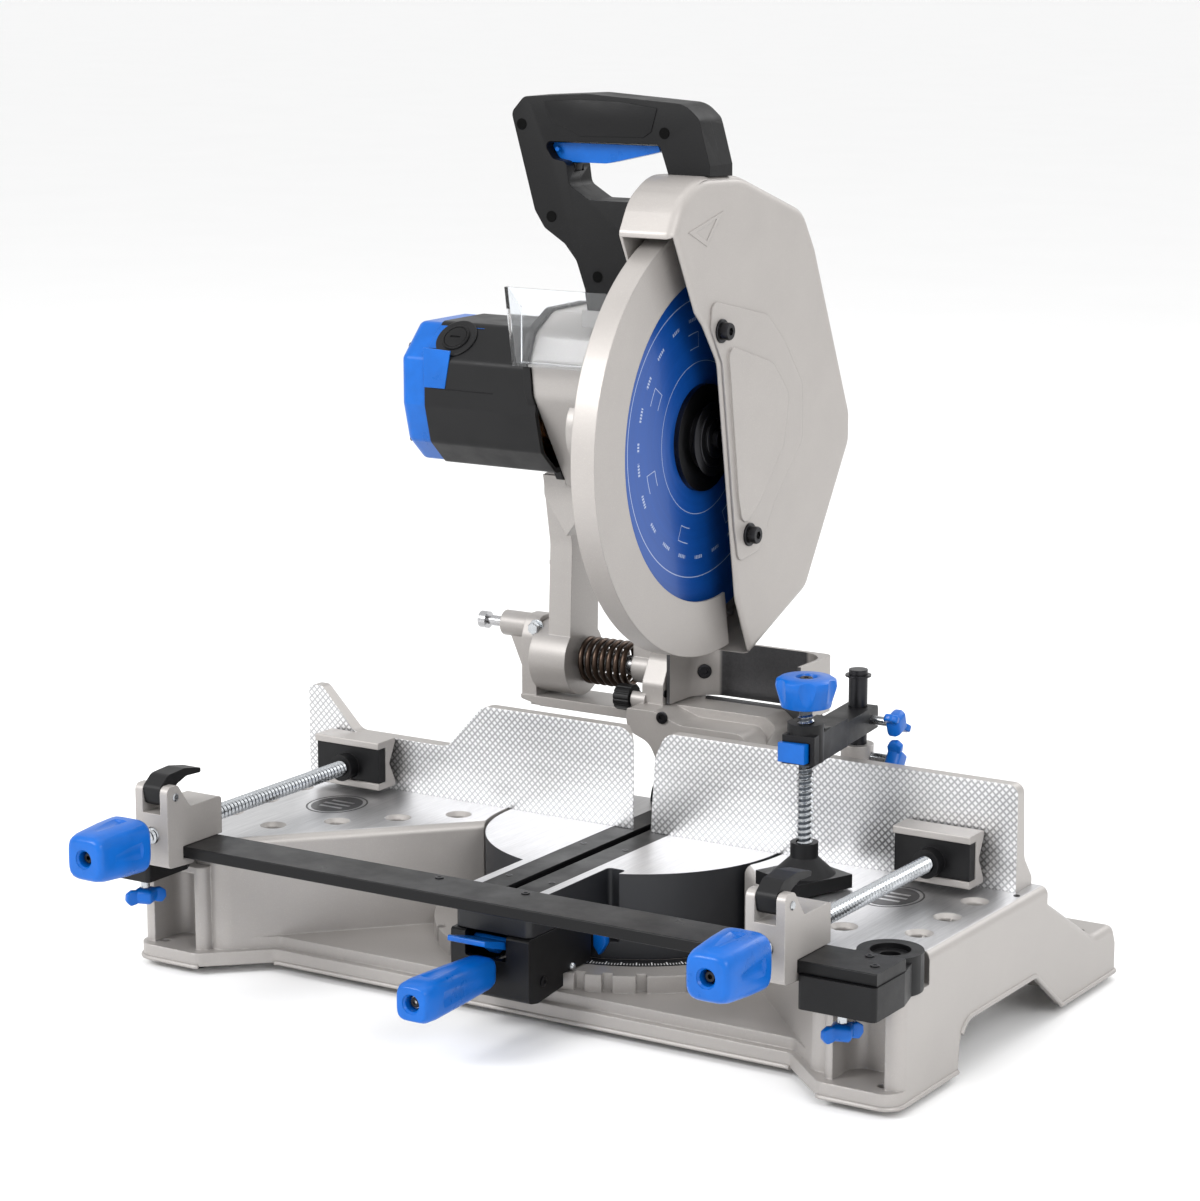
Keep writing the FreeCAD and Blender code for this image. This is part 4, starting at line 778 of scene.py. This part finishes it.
def grip_shape(centre, front, back, half_front, half_back, name):
    """Hand grip along Y: rounded square, narrower at its free end."""
    x, z = centre
    quiet()
    length = back - front
    stations = [(0.0, 0.80), (0.05, 0.94), (0.16, 1.0), (0.6, 1.02), (0.93, 1.0), (1.0, 0.9)]
    bpy.ops.mesh.primitive_circle_add(vertices=32, radius=1, fill_type="NGON")
    obj = bpy.context.object
    obj.name = name

    def section(t, share):
        half = (half_front + (half_back - half_front) * t) * share
        ring = []
        for k in range(32):
            a = 2 * math.pi * (k + 0.5) / 32
            c, s = math.cos(a), math.sin(a)
            n = 4.2
            rad = (abs(c) ** n + abs(s) ** n) ** (-1 / n)
            ring.append((c * rad * half, s * rad * half))
        return ring
    first = section(*stations[0])
    for vert, (u, v) in zip(obj.data.vertices, first):
        vert.co = (u / 1000, v / 1000, 0)
    edit()
    last_t, last_half = 0.0, half_front * stations[0][1]
    for t, share in stations[1:]:
        half = (half_front + (half_back - half_front) * t) * share
        rise = (t - last_t) * length / 1000
        bpy.ops.mesh.extrude_region_move(TRANSFORM_OT_translate={"value": (0, 0, rise)})
        k = half / last_half
        bpy.ops.transform.resize(value=(k, k, 1))
        last_t, last_half = t, half
    done()
    settle(obj, Matrix.Translation(mm(x, front, z)) @ turn_to(BACK))
    outward(obj)
    rounded(obj, 1.6, 3, 24)
    return obj


def gripped(name, centre, front, back, half_front, half_back):
    """A grip with its end recess, finger flutes and the steel screw in the recess."""
    x, z = centre
    body = grip_shape(centre, front, back, half_front, half_back, name)
    carve(body, turned([(8.2, -2), (8.2, 0.5), (6.6, 2.2), (6.6, 13)], (x, front, z), BACK, 32, "recess"))
    reach = (half_front + half_back) / 2 + 11.2
    long = (back - front) * 0.62
    for k in range(4):
        a = math.radians(90 * k)
        start = (x + math.sin(a) * reach, front + (back - front) * 0.16, z + math.cos(a) * reach)
        carve(body, turned([(4, 0), (12.2, 7), (12.2, long), (4, long + 7)], start, BACK, 36, "flute"))
    ring = turned([(6.4, 0), (6.4, 1.6), (5.4, 1.6), (5.4, 2.6)], (x, front + 13.2, z), FRONT, 28, "ring")
    screw = cap_screw((x, front + 12, z), FRONT, 4.3, 6.0, 2.1)
    return body, ring, screw


class SawGrips(bpy.types.Operator):
    """Models the two vice knobs and the mitre grip with their recessed screws"""
    bl_idname = "saw.grips"
    bl_label = "Vice knobs and mitre grip"

    def execute(self, context):
        vice = (-391.5, -330.5, 19.5, 23.0)
        jobs = (("vice_grip_left", (-294, 143), *vice, "vice_spin_left", "vice_knob_left"),
                ("vice_grip_right", (294, 143), *vice, "vice_spin_right", "vice_knob_right"),
                ("mitre_hand_grip", (0, 59), -347.5, -244, 17.2, 13.2, "mitre_screw", "mitre_grip"))
        for name, centre, front, back, a, b, body_name, node in jobs:
            body, ring, screw = gripped(name, centre, front, back, a, b)
            mounted(body, body_name, FINISH["blue"], node)
            mounted(ring, body_name, FINISH["black"], name=name + "_washer")
            mounted(screw, body_name, FINISH["dark_steel"], name=name + "_screw")
        return {"FINISHED"}


class SawClampKnobs(bpy.types.Operator):
    """Models the clamp's lobed knob and the butterfly nuts"""
    bl_idname = "saw.clamp_knobs"
    bl_label = "Clamp knob and butterfly nuts"

    def butterfly(self, start, axis, name, roll=0.0):
        """Hub with two upswept wings; start is at the stem side, axis points away from it."""
        hub = turned([(7.5, 0), (12.4, 2.6), (12.4, 10), (9.0, 13.5)], (0, -FENCE_Y, 0), UP, 4, "hub")
        rounded(hub, 1.5, 3, 25)
        wings = [hub]
        for side in (1, -1):
            outline = [(side * u, v) for u, v in ((5, 1.5), (13, 1.0), (18, 4), (18.4, 10), (14.5, 14.6),
                                                  (9, 13.4), (5, 10.5))]
            wing = plate(outline, "y", -3.1 - FENCE_Y, 3.1 - FENCE_Y, "wing", 1.6, 3)
            wings.append(wing)
        nut = join(name, wings)
        matrix = Matrix.Translation(mm(*start)) @ turn_to(axis) @ Matrix.Rotation(math.radians(roll), 4, "Z")
        nut.data.transform(matrix)
        return nut

    def stud(self, start, axis, r, length):
        return turned([(r * 0.8, 0), (r, 0.8), (r, length)], start, axis, 20, "stud")

    def execute(self, context):
        knob = turned([(15, 0), (20.4, 1.6), (21.4, 6), (24.6, 16.5), (25.1, 19.5), (24.4, 23.5), (21, 25.6),
                       (12, 25.9)], (*CLAMP, 270.1), UP, 60, "clamp_hand_knob")
        for k in range(6):
            a = math.radians(60 * k)
            start = (CLAMP[0] + 34.0 * math.cos(a), CLAMP[1] + 34.0 * math.sin(a), 268)
            carve(knob, turned([(13.2, -5), (12.8, 10), (11.2, 40)], start, UP, 32, "lobe"))
        carve(knob, turned([(8.6, 0), (9.2, 4)], (*CLAMP, 293.2), UP, 32, "dish"))
        rounded(knob, 1.3, 2, 30)
        mounted(knob, "clamp_spin", FINISH["blue"], "clamp_knob")
        cap = cap_screw((*CLAMP, 292.6), UP, 5.4, 2.8, 2.6)
        mounted(cap, "clamp_spin", FINISH["dark_steel"], name="clamp_knob_screw")
        for word, x in (("left", -338), ("right", 338)):
            nut = self.butterfly((x, -262, 80.5), DOWN, "rail_butterfly_" + word, 28)
            mounted(nut, "rail_wing_" + word[0], FINISH["blue"], "rail_wing_" + word)
            stud = self.stud((x, -262, 80), UP, 3.9, 34)
            mounted(stud, "rail_wing_" + word[0], FINISH["zinc"], name="rail_stud_" + word)
        for node, body, z, roll in (("clamp_arm_knob", "arm_knob", 236, 62),
                                    ("clamp_post_knob", "post_knob", 204, 12)):
            nut = self.butterfly((218.5, 40, z), RIGHT, node + "_butterfly", roll)
            mounted(nut, body, FINISH["blue"], node)
            stud = self.stud((197.6, 40, z), RIGHT, 3.9, 22)
            mounted(stud, body, FINISH["zinc"], name=node + "_stud")
        return {"FINISHED"}


class SawHandle(bpy.types.Operator):
    """Rounds the handle shells and adds screws, grip panel and trigger latch"""
    bl_idname = "saw.handle"
    bl_label = "Handle"

    def execute(self, context):
        edge = context.scene.saw.grip_rounding * 1000
        for word in ("front", "rear"):
            shell = refined("handle_" + word, "handle_shell_" + word, 0)
            mid = mm(0, 79, 0).y
            side = -1 if word == "front" else 1
            pick(shell)
            bpy.ops.object.mode_set(mode="EDIT")
            bpy.context.tool_settings.mesh_select_mode = (False, True, False)
            bpy.ops.mesh.select_all(action="DESELECT")
            done()
            mesh = shell.data
            outer = mid + side * 0.019
            count = 0
            for e in mesh.edges:
                a, b = (mesh.vertices[i].co for i in e.vertices)
                low = min(a.z, b.z) > 0.562 and max(a.x, b.x) < 0.0285
                if abs(a.y - outer) < 2e-5 and abs(b.y - outer) < 2e-5 and low:
                    e.select = True
                    count += 1
            if not count:
                raise RuntimeError("no rim edges found on handle_" + word)
            bpy.ops.object.mode_set(mode="EDIT")
            bpy.ops.mesh.bevel(offset=edge / 1000, segments=4, affect="EDGES", clamp_overlap=True)
            done()
            mounted(shell, "head", FINISH["grip_black"], "handle_" + word)
        screws = []
        # The wells are thin rings laid on the shell face in the near-black finish, painted shade for the
        # depth of the screw holes.
        for x, z in HANDLE_SCREWS:
            well = turned([(4.6, 0), (4.9, 0.5), (4.9, 0.9), (3.6, 0.9)], (x, 60.35, z), FRONT, 24, "well")
            screws.append(well)
        rim = join("handle_screw_wells", screws)
        mounted(rim, "head", FINISH["hollow"])
        # The screw heads take the same near-black finish, painted shade for screws sunk in their holes.
        heads = [cap_screw((x, 60.4, z), FRONT, 3.3, 0.75, 1.6) for x, z in
                 HANDLE_SCREWS]
        mounted(join("handle_screws", heads), "head", FINISH["hollow"])
        pad = plate([(-137, 739.5), (-128, 721), (-112, 716.5), (-100, 710.5), (-36, 711.5), (-28, 716.5),
                     (-22, 737), (-60, 741.5), (-100, 742)], "y", 59.2, 61, "grip_panel", 0.5, 2)
        mounted(pad, "head", FINISH["grip_black"])
        latch = plate([(-121, 686.5), (-112, 686.5), (-113, 679.5), (-116.5, 677), (-120, 680)], "y", 73, 85,
                      "trigger_latch", 1.2, 3)
        mounted(latch, "trigger", FINISH["black"])
        return {"FINISHED"}


def seat(node, start, direction):
    """Where a line from start meets a CAD piece: the place in mm and the face's normal."""
    obj = NODES[node]
    hit, place, normal, _ = obj.ray_cast(mm(*start), Vector(direction))
    if not hit:
        raise RuntimeError("nothing of " + node + " under the fastener")
    return (place.x * 1000, place.y * 1000 - FENCE_Y, place.z * 1000), tuple(normal)


def fixed(parts, body, finish, name):
    return mounted(join(name, parts), body, FINISH[finish])


class SawMotor(bpy.types.Operator):
    """Brush cap, cooling louvres, blue cap wrap, housing seam and screws of the motor"""
    bl_idname = "saw.motor"
    bl_label = "Motor details"

    def tilted(self, parts, place, normal):
        """Takes parts modelled round the middle of the floor to a place on a facet, X kept along X."""
        up = Vector(normal).normalized()
        along = Vector(RIGHT)
        across = up.cross(along).normalized()
        turn = Matrix((along, across, up)).transposed().to_4x4()
        for part in parts:
            part.data.transform(Matrix.Translation(mm(*place)) @ turn)
        return parts

    def execute(self, context):
        low = -FENCE_Y
        place, normal = seat("motor_housing", (-246, 20, 585), (0, 0.7071, -0.7071))
        boss = turned([(20.5, 0), (20.5, 0.9), (19.6, 1.5)], (0, low, 0), UP, 48, "boss")
        ring = turned([(13.6, 0), (13.6, 2.4), (12.6, 3.2), (11.4, 3.2), (11.4, 2.3), (10.9, 2.3),
                       (10.9, 3.0), (9.6, 3.4)], (0, low, 0), UP, 48, "ring")
        carve(ring, slab((-5.4, low - 1.0, 2.2), (5.4, low + 1.0, 5), "slot"))
        self.tilted([boss, ring], place, normal)
        mounted(boss, "head", FINISH["black"], name="brush_boss")
        mounted(ring, "head", FINISH["grip_black"], name="brush_cap")
        wrap = plate([(-24.5, low - 12.8), (6.5, low - 12.8), (-1, low + 4), (-6, low + 13.2),
                      (24, low + 13.2), (24, low + 13.6), (-24.5, low + 13.6)], "z", 0, 0.7,
                     "wrap_top", 0.25, 1)
        self.tilted([wrap], place, normal)
        front = plate([(-270.6, 515), (-241, 513.8), (-247.5, 479), (-270.6, 479)], "y", 64.3, 65.6,
                      "wrap_front", 0.25, 1)
        fixed([wrap, front], "head", "blue", "motor_cap_wrap")
        bars = [slab((-299.3, 98 + abs(k) * 3.2, 470 + k * 9.5 - 2.2),
                     (-296, 162 - abs(k) * 3.2, 470 + k * 9.5 + 2.2), "louvre", 1.0, 2) for k in range(-4, 5)]
        fixed(bars, "head", "grip_black", "motor_louvres")
        seams = [slab((-262, 64.5, 478.0), (-196, 65.7, 478.8), "seam", 0.3, 1)]
        fixed(seams, "head", "grip_black", "motor_seams")
        screws = []
        for y, z in ((86, 428), (174, 428), (86, 512), (174, 512)):
            spot, out = seat("motor_end_cap", (-340, y, z), RIGHT)
            screws.append(cap_screw(spot, out, 3.4, 1.6, 1.7))
        fixed(screws, "head", "dark_steel", "motor_cap_screws")
        return {"FINISHED"}


class SawCover(bpy.types.Operator):
    """Cover bolts with washers, raised turning mark and the rims of the moving guard"""
    bl_idname = "saw.cover"
    bl_label = "Guard details"

    def execute(self, context):
        for k, (y, z) in enumerate(((75, 549), (126, 364))):
            bolt = turned([(10.4, 33.7), (10.4, 35.2), (9.8, 35.7), (7.7, 35.7), (7.7, 42.0), (7.0, 43.2),
                           (5, 43.2)], (0, y, z), RIGHT, 40, "bolt")
            carve(bolt, turned([(3.9, 41.3), (3.9, 45)], (0, y, z), RIGHT, 6, "key"))
            mounted(bolt, "head", FINISH["dark_steel"], name="plate_bolt_" + "ab"[k])
        steps = [turned(profile, ARBOR, RIGHT, 64, "step") for profile in (
            [(33, 13.2), (33, 13.9), (32.2, 14.3)], [(25, 14.3), (25, 15.2), (24.2, 15.7)],
            [(17, 15.7), (17, 17.0), (16, 17.6)])]
        fixed(steps, "blade", "dark_steel", "flange_steps")
        mark = plate([(21, 637), (79, 651), (52, 623)], "x", 31.8, 32.5, "turning_mark")
        carve(mark, plate([(33, 636), (68, 645.4), (51.5, 628)], "x", 31, 33, "inside"))
        mounted(mark, "head", FINISH["cover"])
        rims = []
        for r, half in ((187.0, 0.55), (171.5, 0.5)):
            quiet()
            bpy.ops.mesh.primitive_circle_add(vertices=8, radius=half / 1000, fill_type="NGON")
            rim = bpy.context.object
            rim.rotation_euler = (math.radians(90), 0, 0)
            rim.location = (r / 1000, 0, 0)
            bpy.ops.object.transform_apply(location=True, rotation=True, scale=True)
            edit()
            bpy.ops.mesh.spin(steps=72, angle=math.radians(150), center=(0, 0, 0), axis=UP)
            done()
            outward(rim)
            turn = Matrix((UP, RIGHT, BACK)).to_4x4()
            for side in (1, -1):
                twin = again(rim, Matrix.Translation(mm(side * 11.2, *ARBOR[1:])) @ turn @
                             Matrix.Rotation(math.radians(118), 4, "Z"))
                rims.append(outward(twin))
            bpy.data.objects.remove(rim)
        fixed(rims, "guard", "cover", "guard_rims")
        return {"FINISHED"}


class SawFasteners(bpy.types.Operator):
    """Screws and bolts on the yoke, arm housing, rail, base and fences"""
    bl_idname = "saw.fasteners"
    bl_label = "Screws and bolts"

    def execute(self, context):
        jobs = {
            "yoke": [("chip_scoop", (0, 188, 219), LEFT, 6.6, 2.6, 3.4),
                     ("yoke_casting", (-46, 60, 191), BACK, 5.6, 2.2, 2.9),
                     ("yoke_casting", (-20, 139.7, 205.6), LEFT, 3.4, 1.0, 1.8)],
            "turntable": [("arm_housing", (80, -214.9, 48.2), LEFT, 4.2, 1.6, 2.2),
                          ("arm_housing", (-80, -214.9, 48.2), RIGHT, 4.2, 1.6, 2.2)] + [
                ("kerf_inserts", (x, y, 160), DOWN, 2.9, 0.35, 1.5) for x in (-21, 21) for y in (-175, -60)],
            "base": [("front_rail", (x, y, 200), DOWN, 3.6, 0.7, 1.8)
                     for x, y in ((-366.6, -265.5), (366.6, -265.5), (-42, -246), (42, -246),
                                  (-352, -246), (352, -246))] + [
                ("base_casting", (s * 361, -6.4, 200), DOWN, 2.7, 0.5, 1.3) for s in (-1, 1)]}
        for body, rows in jobs.items():
            heads = []
            for node, start, direction, r, h, key in rows:
                spot, out = seat(node, start, direction)
                heads.append(cap_screw(spot, out, r, h, key, sides=24))
            fixed(heads, body, "dark_steel", body + "_screws")
        spot, out = seat("yoke_casting", (-207.3, 80, 247.8), BACK)
        mounted(hex_bolt(spot, FRONT, 6.2, 6.5, 1.4), "yoke", FINISH["zinc"],
                name="head_stop_bolt")
        spot, out = seat("arm_housing", (80, -171.1, 49.3), LEFT)
        ball = turned([(3.4, 0), (3.2, 1.2), (2.5, 2.3), (1.4, 3.0), (0.4, 3.2)], spot, RIGHT, 24, "ball")
        mounted(ball, "turntable", FINISH["zinc"], name="detent_ball")
        apron = plate([(-50, 160), (-42, 198), (78, 198), (78, 176), (66, 160)], "y", 182, 185,
                      "scoop_apron", 0.8, 2)
        mounted(apron, "yoke", FINISH["apron"])
        for word, ends in (("right", ((311, 1), (277, -1))), ("left", ((-311, -1), (-277, 1)))):
            pins = [turned([(3.6, 0), (3.6, 0.7), (2.8, 1.2)], (x, -293, 176), (s, 0, 0), 24, "pin")
                    for x, s in ends]
            fixed(pins, "vice_" + word, "zinc", "vice_pin_" + word)
        return {"FINISHED"}


class SawTable(bpy.types.Operator):
    """Plain oval badges on the tables and the blue mitre pointer"""
    bl_idname = "saw.table"
    bl_label = "Badges and pointer"

    def execute(self, context):
        tone = context.scene.saw.badge_tone
        ink = plastic("badge_ink", tuple(tone), 0.4, 1200.0, 0.1, 0.1, dust=0.05)
        for word, x, y in (("left", -276, -69), ("right", 276, -62)):
            def oval(a, b, low, high):
                return plate([(x + a * math.cos(t), y + b * math.sin(t)) for t in
                              (2 * math.pi * k / 48 for k in range(48))], "z", low, high, "oval")
            rim = oval(26, 31, 118.9, 119.12)
            carve(rim, oval(24.4, 29.2, 118, 120))
            field = oval(21.6, 26.0, 118.9, 119.12)
            for k in (-1, 0, 1):
                half, row = 14 - 2 * abs(k), y + 9.5 * k
                carve(field, slab((x - half, row - 2.2, 118), (x + half, row + 2.2, 120), "bar"))
            mounted(join("badge_" + word, [rim, field]), "base", ink)
        pointer = plate([(36, 73), (48, 73), (48, 60), (41.5, 49.5), (36, 57)], "y", -135.5, -128.5,
                        "mitre_pointer", 0.8, 2)
        mounted(pointer, "turntable", FINISH["blue"])
        return {"FINISHED"}


class SawBaseLip(bpy.types.Operator):
    """Rolled lip round the foot of the base and its arches"""
    bl_idname = "saw.base_lip"
    bl_label = "Base lip"

    def execute(self, context):
        body = refined("base_casting", "base_copy", 0)
        mesh = body.data
        faces = {}
        for face in mesh.polygons:
            for key in face.edge_keys:
                faces.setdefault(key, []).append(face)
        middle = mm(0, -30, 0)
        pick(body)
        bpy.ops.object.mode_set(mode="EDIT")
        context.tool_settings.mesh_select_mode = (False, True, False)
        bpy.ops.mesh.select_all(action="DESELECT")
        done()
        count = 0
        for edge in mesh.edges:
            near = faces.get(edge.key, [])
            if len(near) != 2:
                continue
            low, side = sorted(near, key=lambda f: f.normal.z)
            a, b = (mesh.vertices[i].co for i in edge.vertices)
            out = (a + b) / 2 - middle
            out.z = 0
            at_foot = abs(a.z - 0.008) < 0.0004 and abs(b.z - 0.008) < 0.0004
            if low.normal.z < -0.5 and abs(side.normal.z) < 0.4 and side.normal.dot(out) > 0.02 and (
                    at_foot or abs(a.x) > 0.34):
                edge.select = True
                count += 1
        if count < 8:
            raise RuntimeError("the foot edge of the base was not found")
        bpy.ops.object.mode_set(mode="EDIT")
        bpy.ops.mesh.duplicate()
        bpy.ops.mesh.separate(type="SELECTED")
        done()
        lip = [o for o in context.selected_objects if o is not body][0]
        bpy.data.objects.remove(body)
        pick(lip)
        bpy.ops.object.convert(target="CURVE")
        lip = context.object
        lip.data.bevel_depth = 0.0021
        lip.data.bevel_resolution = 2
        lip.data.use_fill_caps = True
        bpy.ops.object.convert(target="MESH")
        lip = context.object
        outward(lip)
        mounted(lip, "base", FINISH["casting"], name="base_lip")
        return {"FINISHED"}


class SawRear(bpy.types.Operator):
    """Screws on the back of the gear case and handle, and ribs on the grip"""
    bl_idname = "saw.rear"
    bl_label = "Back details"

    def execute(self, context):
        heads = []
        for x, z in ((-128, 523), (-46, 523), (-128, 432), (-46, 432)):
            spot, out = seat("gear_housing", (x, 320, z), FRONT)
            heads.append(cap_screw(spot, out, 4.4, 2.6, 2.3, 0.8))
        fixed(heads, "head", "dark_steel", "gear_case_screws")
        # The rings round these screws are painted shade for the recess round each head; the heads keep their
        # steel.
        wells, heads = [], []
        for x, z in ((-160, 719), (-15, 716), (-129.5, 640), (-82, 572)):
            spot, out = seat("handle_rear", (x, 160, z), FRONT)
            wells.append(turned([(4.9, 0), (4.9, 0.5), (4.2, 0.7)], spot, out, 24, "well"))
            heads.append(cap_screw(spot, out, 3.3, 0.9, 1.6, sides=24))
        fixed(wells, "head", "hollow", "handle_rear_wells")
        fixed(heads, "head", "dark_steel", "handle_rear_screws")
        ribs = [slab((x, 96.2, 735), (x + 1.6, 98.5, 741), "rib", 0.4, 1) for x in range(-120, -40, 5)]
        fixed(ribs, "head", "grip_black", "handle_rear_ribs")
        return {"FINISHED"}


class SawPaintNodes(bpy.types.Operator):
    """Gives every CAD piece its finish"""
    bl_idname = "saw.paint_nodes"
    bl_label = "Finish the CAD pieces"

    def execute(self, context):
        for key, names in NODE_FINISH.items():
            for name in names:
                paint(NODES[name], FINISH[key])
        return {"FINISHED"}


class SawStage(bpy.types.Operator):
    """Pale floor, soft studio lights and the camera"""
    bl_idname = "saw.stage"
    bl_label = "Stage"

    def execute(self, context):
        quiet()
        bpy.ops.mesh.primitive_plane_add(size=300, location=(0, 0, 0))
        floor = bpy.context.object
        floor.name = "floor"
        mat, w, bsdf, where, _ = start("pale_floor", (0.93, 0.93, 0.93), 0.0, 0.6)
        w.put(bsdf, Specular_IOR_Level=0.1)
        tone = w.mix(w.noise(where, 3.0, 3.0), (0.92, 0.92, 0.92, 1), (0.945, 0.945, 0.945, 1))
        w.put(bsdf, Base_Color=tone)
        floor.data.materials.append(mat)
        for name, place, aim, size, power in (
                ("key", (-1.5, -2.6, 2.1), (0, 0, 0.3), 1.2, 80),
                ("fill", (2.6, -1.6, 1.9), (0, 0, 0.3), 1.6, 44),
                ("rim", (0.6, 2.6, 2.3), (0, 0, 0.4), 1.6, 26), ("top", (0.1, 0.1, 3.3), (0, 0, 0), 2.4, 18)):
            bpy.ops.object.light_add(type="AREA", location=place)
            light = bpy.context.object
            light.name = name + "_light"
            light.data.size = size
            light.data.energy = power
            light.rotation_euler = (Vector(aim) - Vector(place)).to_track_quat("-Z", "Y").to_euler()
        world = bpy.data.worlds.new("studio")
        world.use_nodes = True
        world.node_tree.nodes["Background"].inputs[0].default_value = (1, 1, 1, 1)
        world.node_tree.nodes["Background"].inputs[1].default_value = 1.0
        context.scene.world = world
        context.scene.view_settings.view_transform = "Standard"
        az, el = math.radians(32.08), math.radians(11.65)
        forward = Vector((-math.sin(az) * math.cos(el), math.cos(az) * math.cos(el), -math.sin(el)))
        bpy.ops.object.camera_add(location=mm(1482.24, -2431.68, 910.08))
        camera = bpy.context.object
        camera.rotation_euler = forward.to_track_quat("-Z", "Y").to_euler()
        camera.data.sensor_width = 36
        camera.data.lens = 101.83
        context.scene.camera = camera
        return {"FINISHED"}


OPERATORS = [SawStage, SawRear, SawThreads, SawSpring, SawGrips, SawClampKnobs, SawHandle, SawMotor,
             SawCover, SawFasteners, SawTable, SawBaseLip, SawPaintNodes]


class SawPanel(bpy.types.Panel):
    """Lists the steps that finish the saw"""
    bl_idname = "VIEW3D_PT_saw"
    bl_label = "Mitre saw"
    bl_space_type = "VIEW_3D"
    bl_region_type = "UI"
    bl_category = "Mitre saw"

    def draw(self, context):
        for operator in OPERATORS:
            self.layout.operator(operator.bl_idname)


CLASSES = [SawSettings] + OPERATORS + [SawPanel]


def register():
    for cls in CLASSES:
        bpy.utils.register_class(cls)
    bpy.types.Scene.saw = bpy.props.PointerProperty(type=SawSettings)


def unregister():
    del bpy.types.Scene.saw
    for cls in reversed(CLASSES):
        bpy.utils.unregister_class(cls)


def main():
    register()
    for operator in OPERATORS:
        area, name = operator.bl_idname.split(".")
        getattr(getattr(bpy.ops, area), name)()


if __name__ == "__main__":
    main()
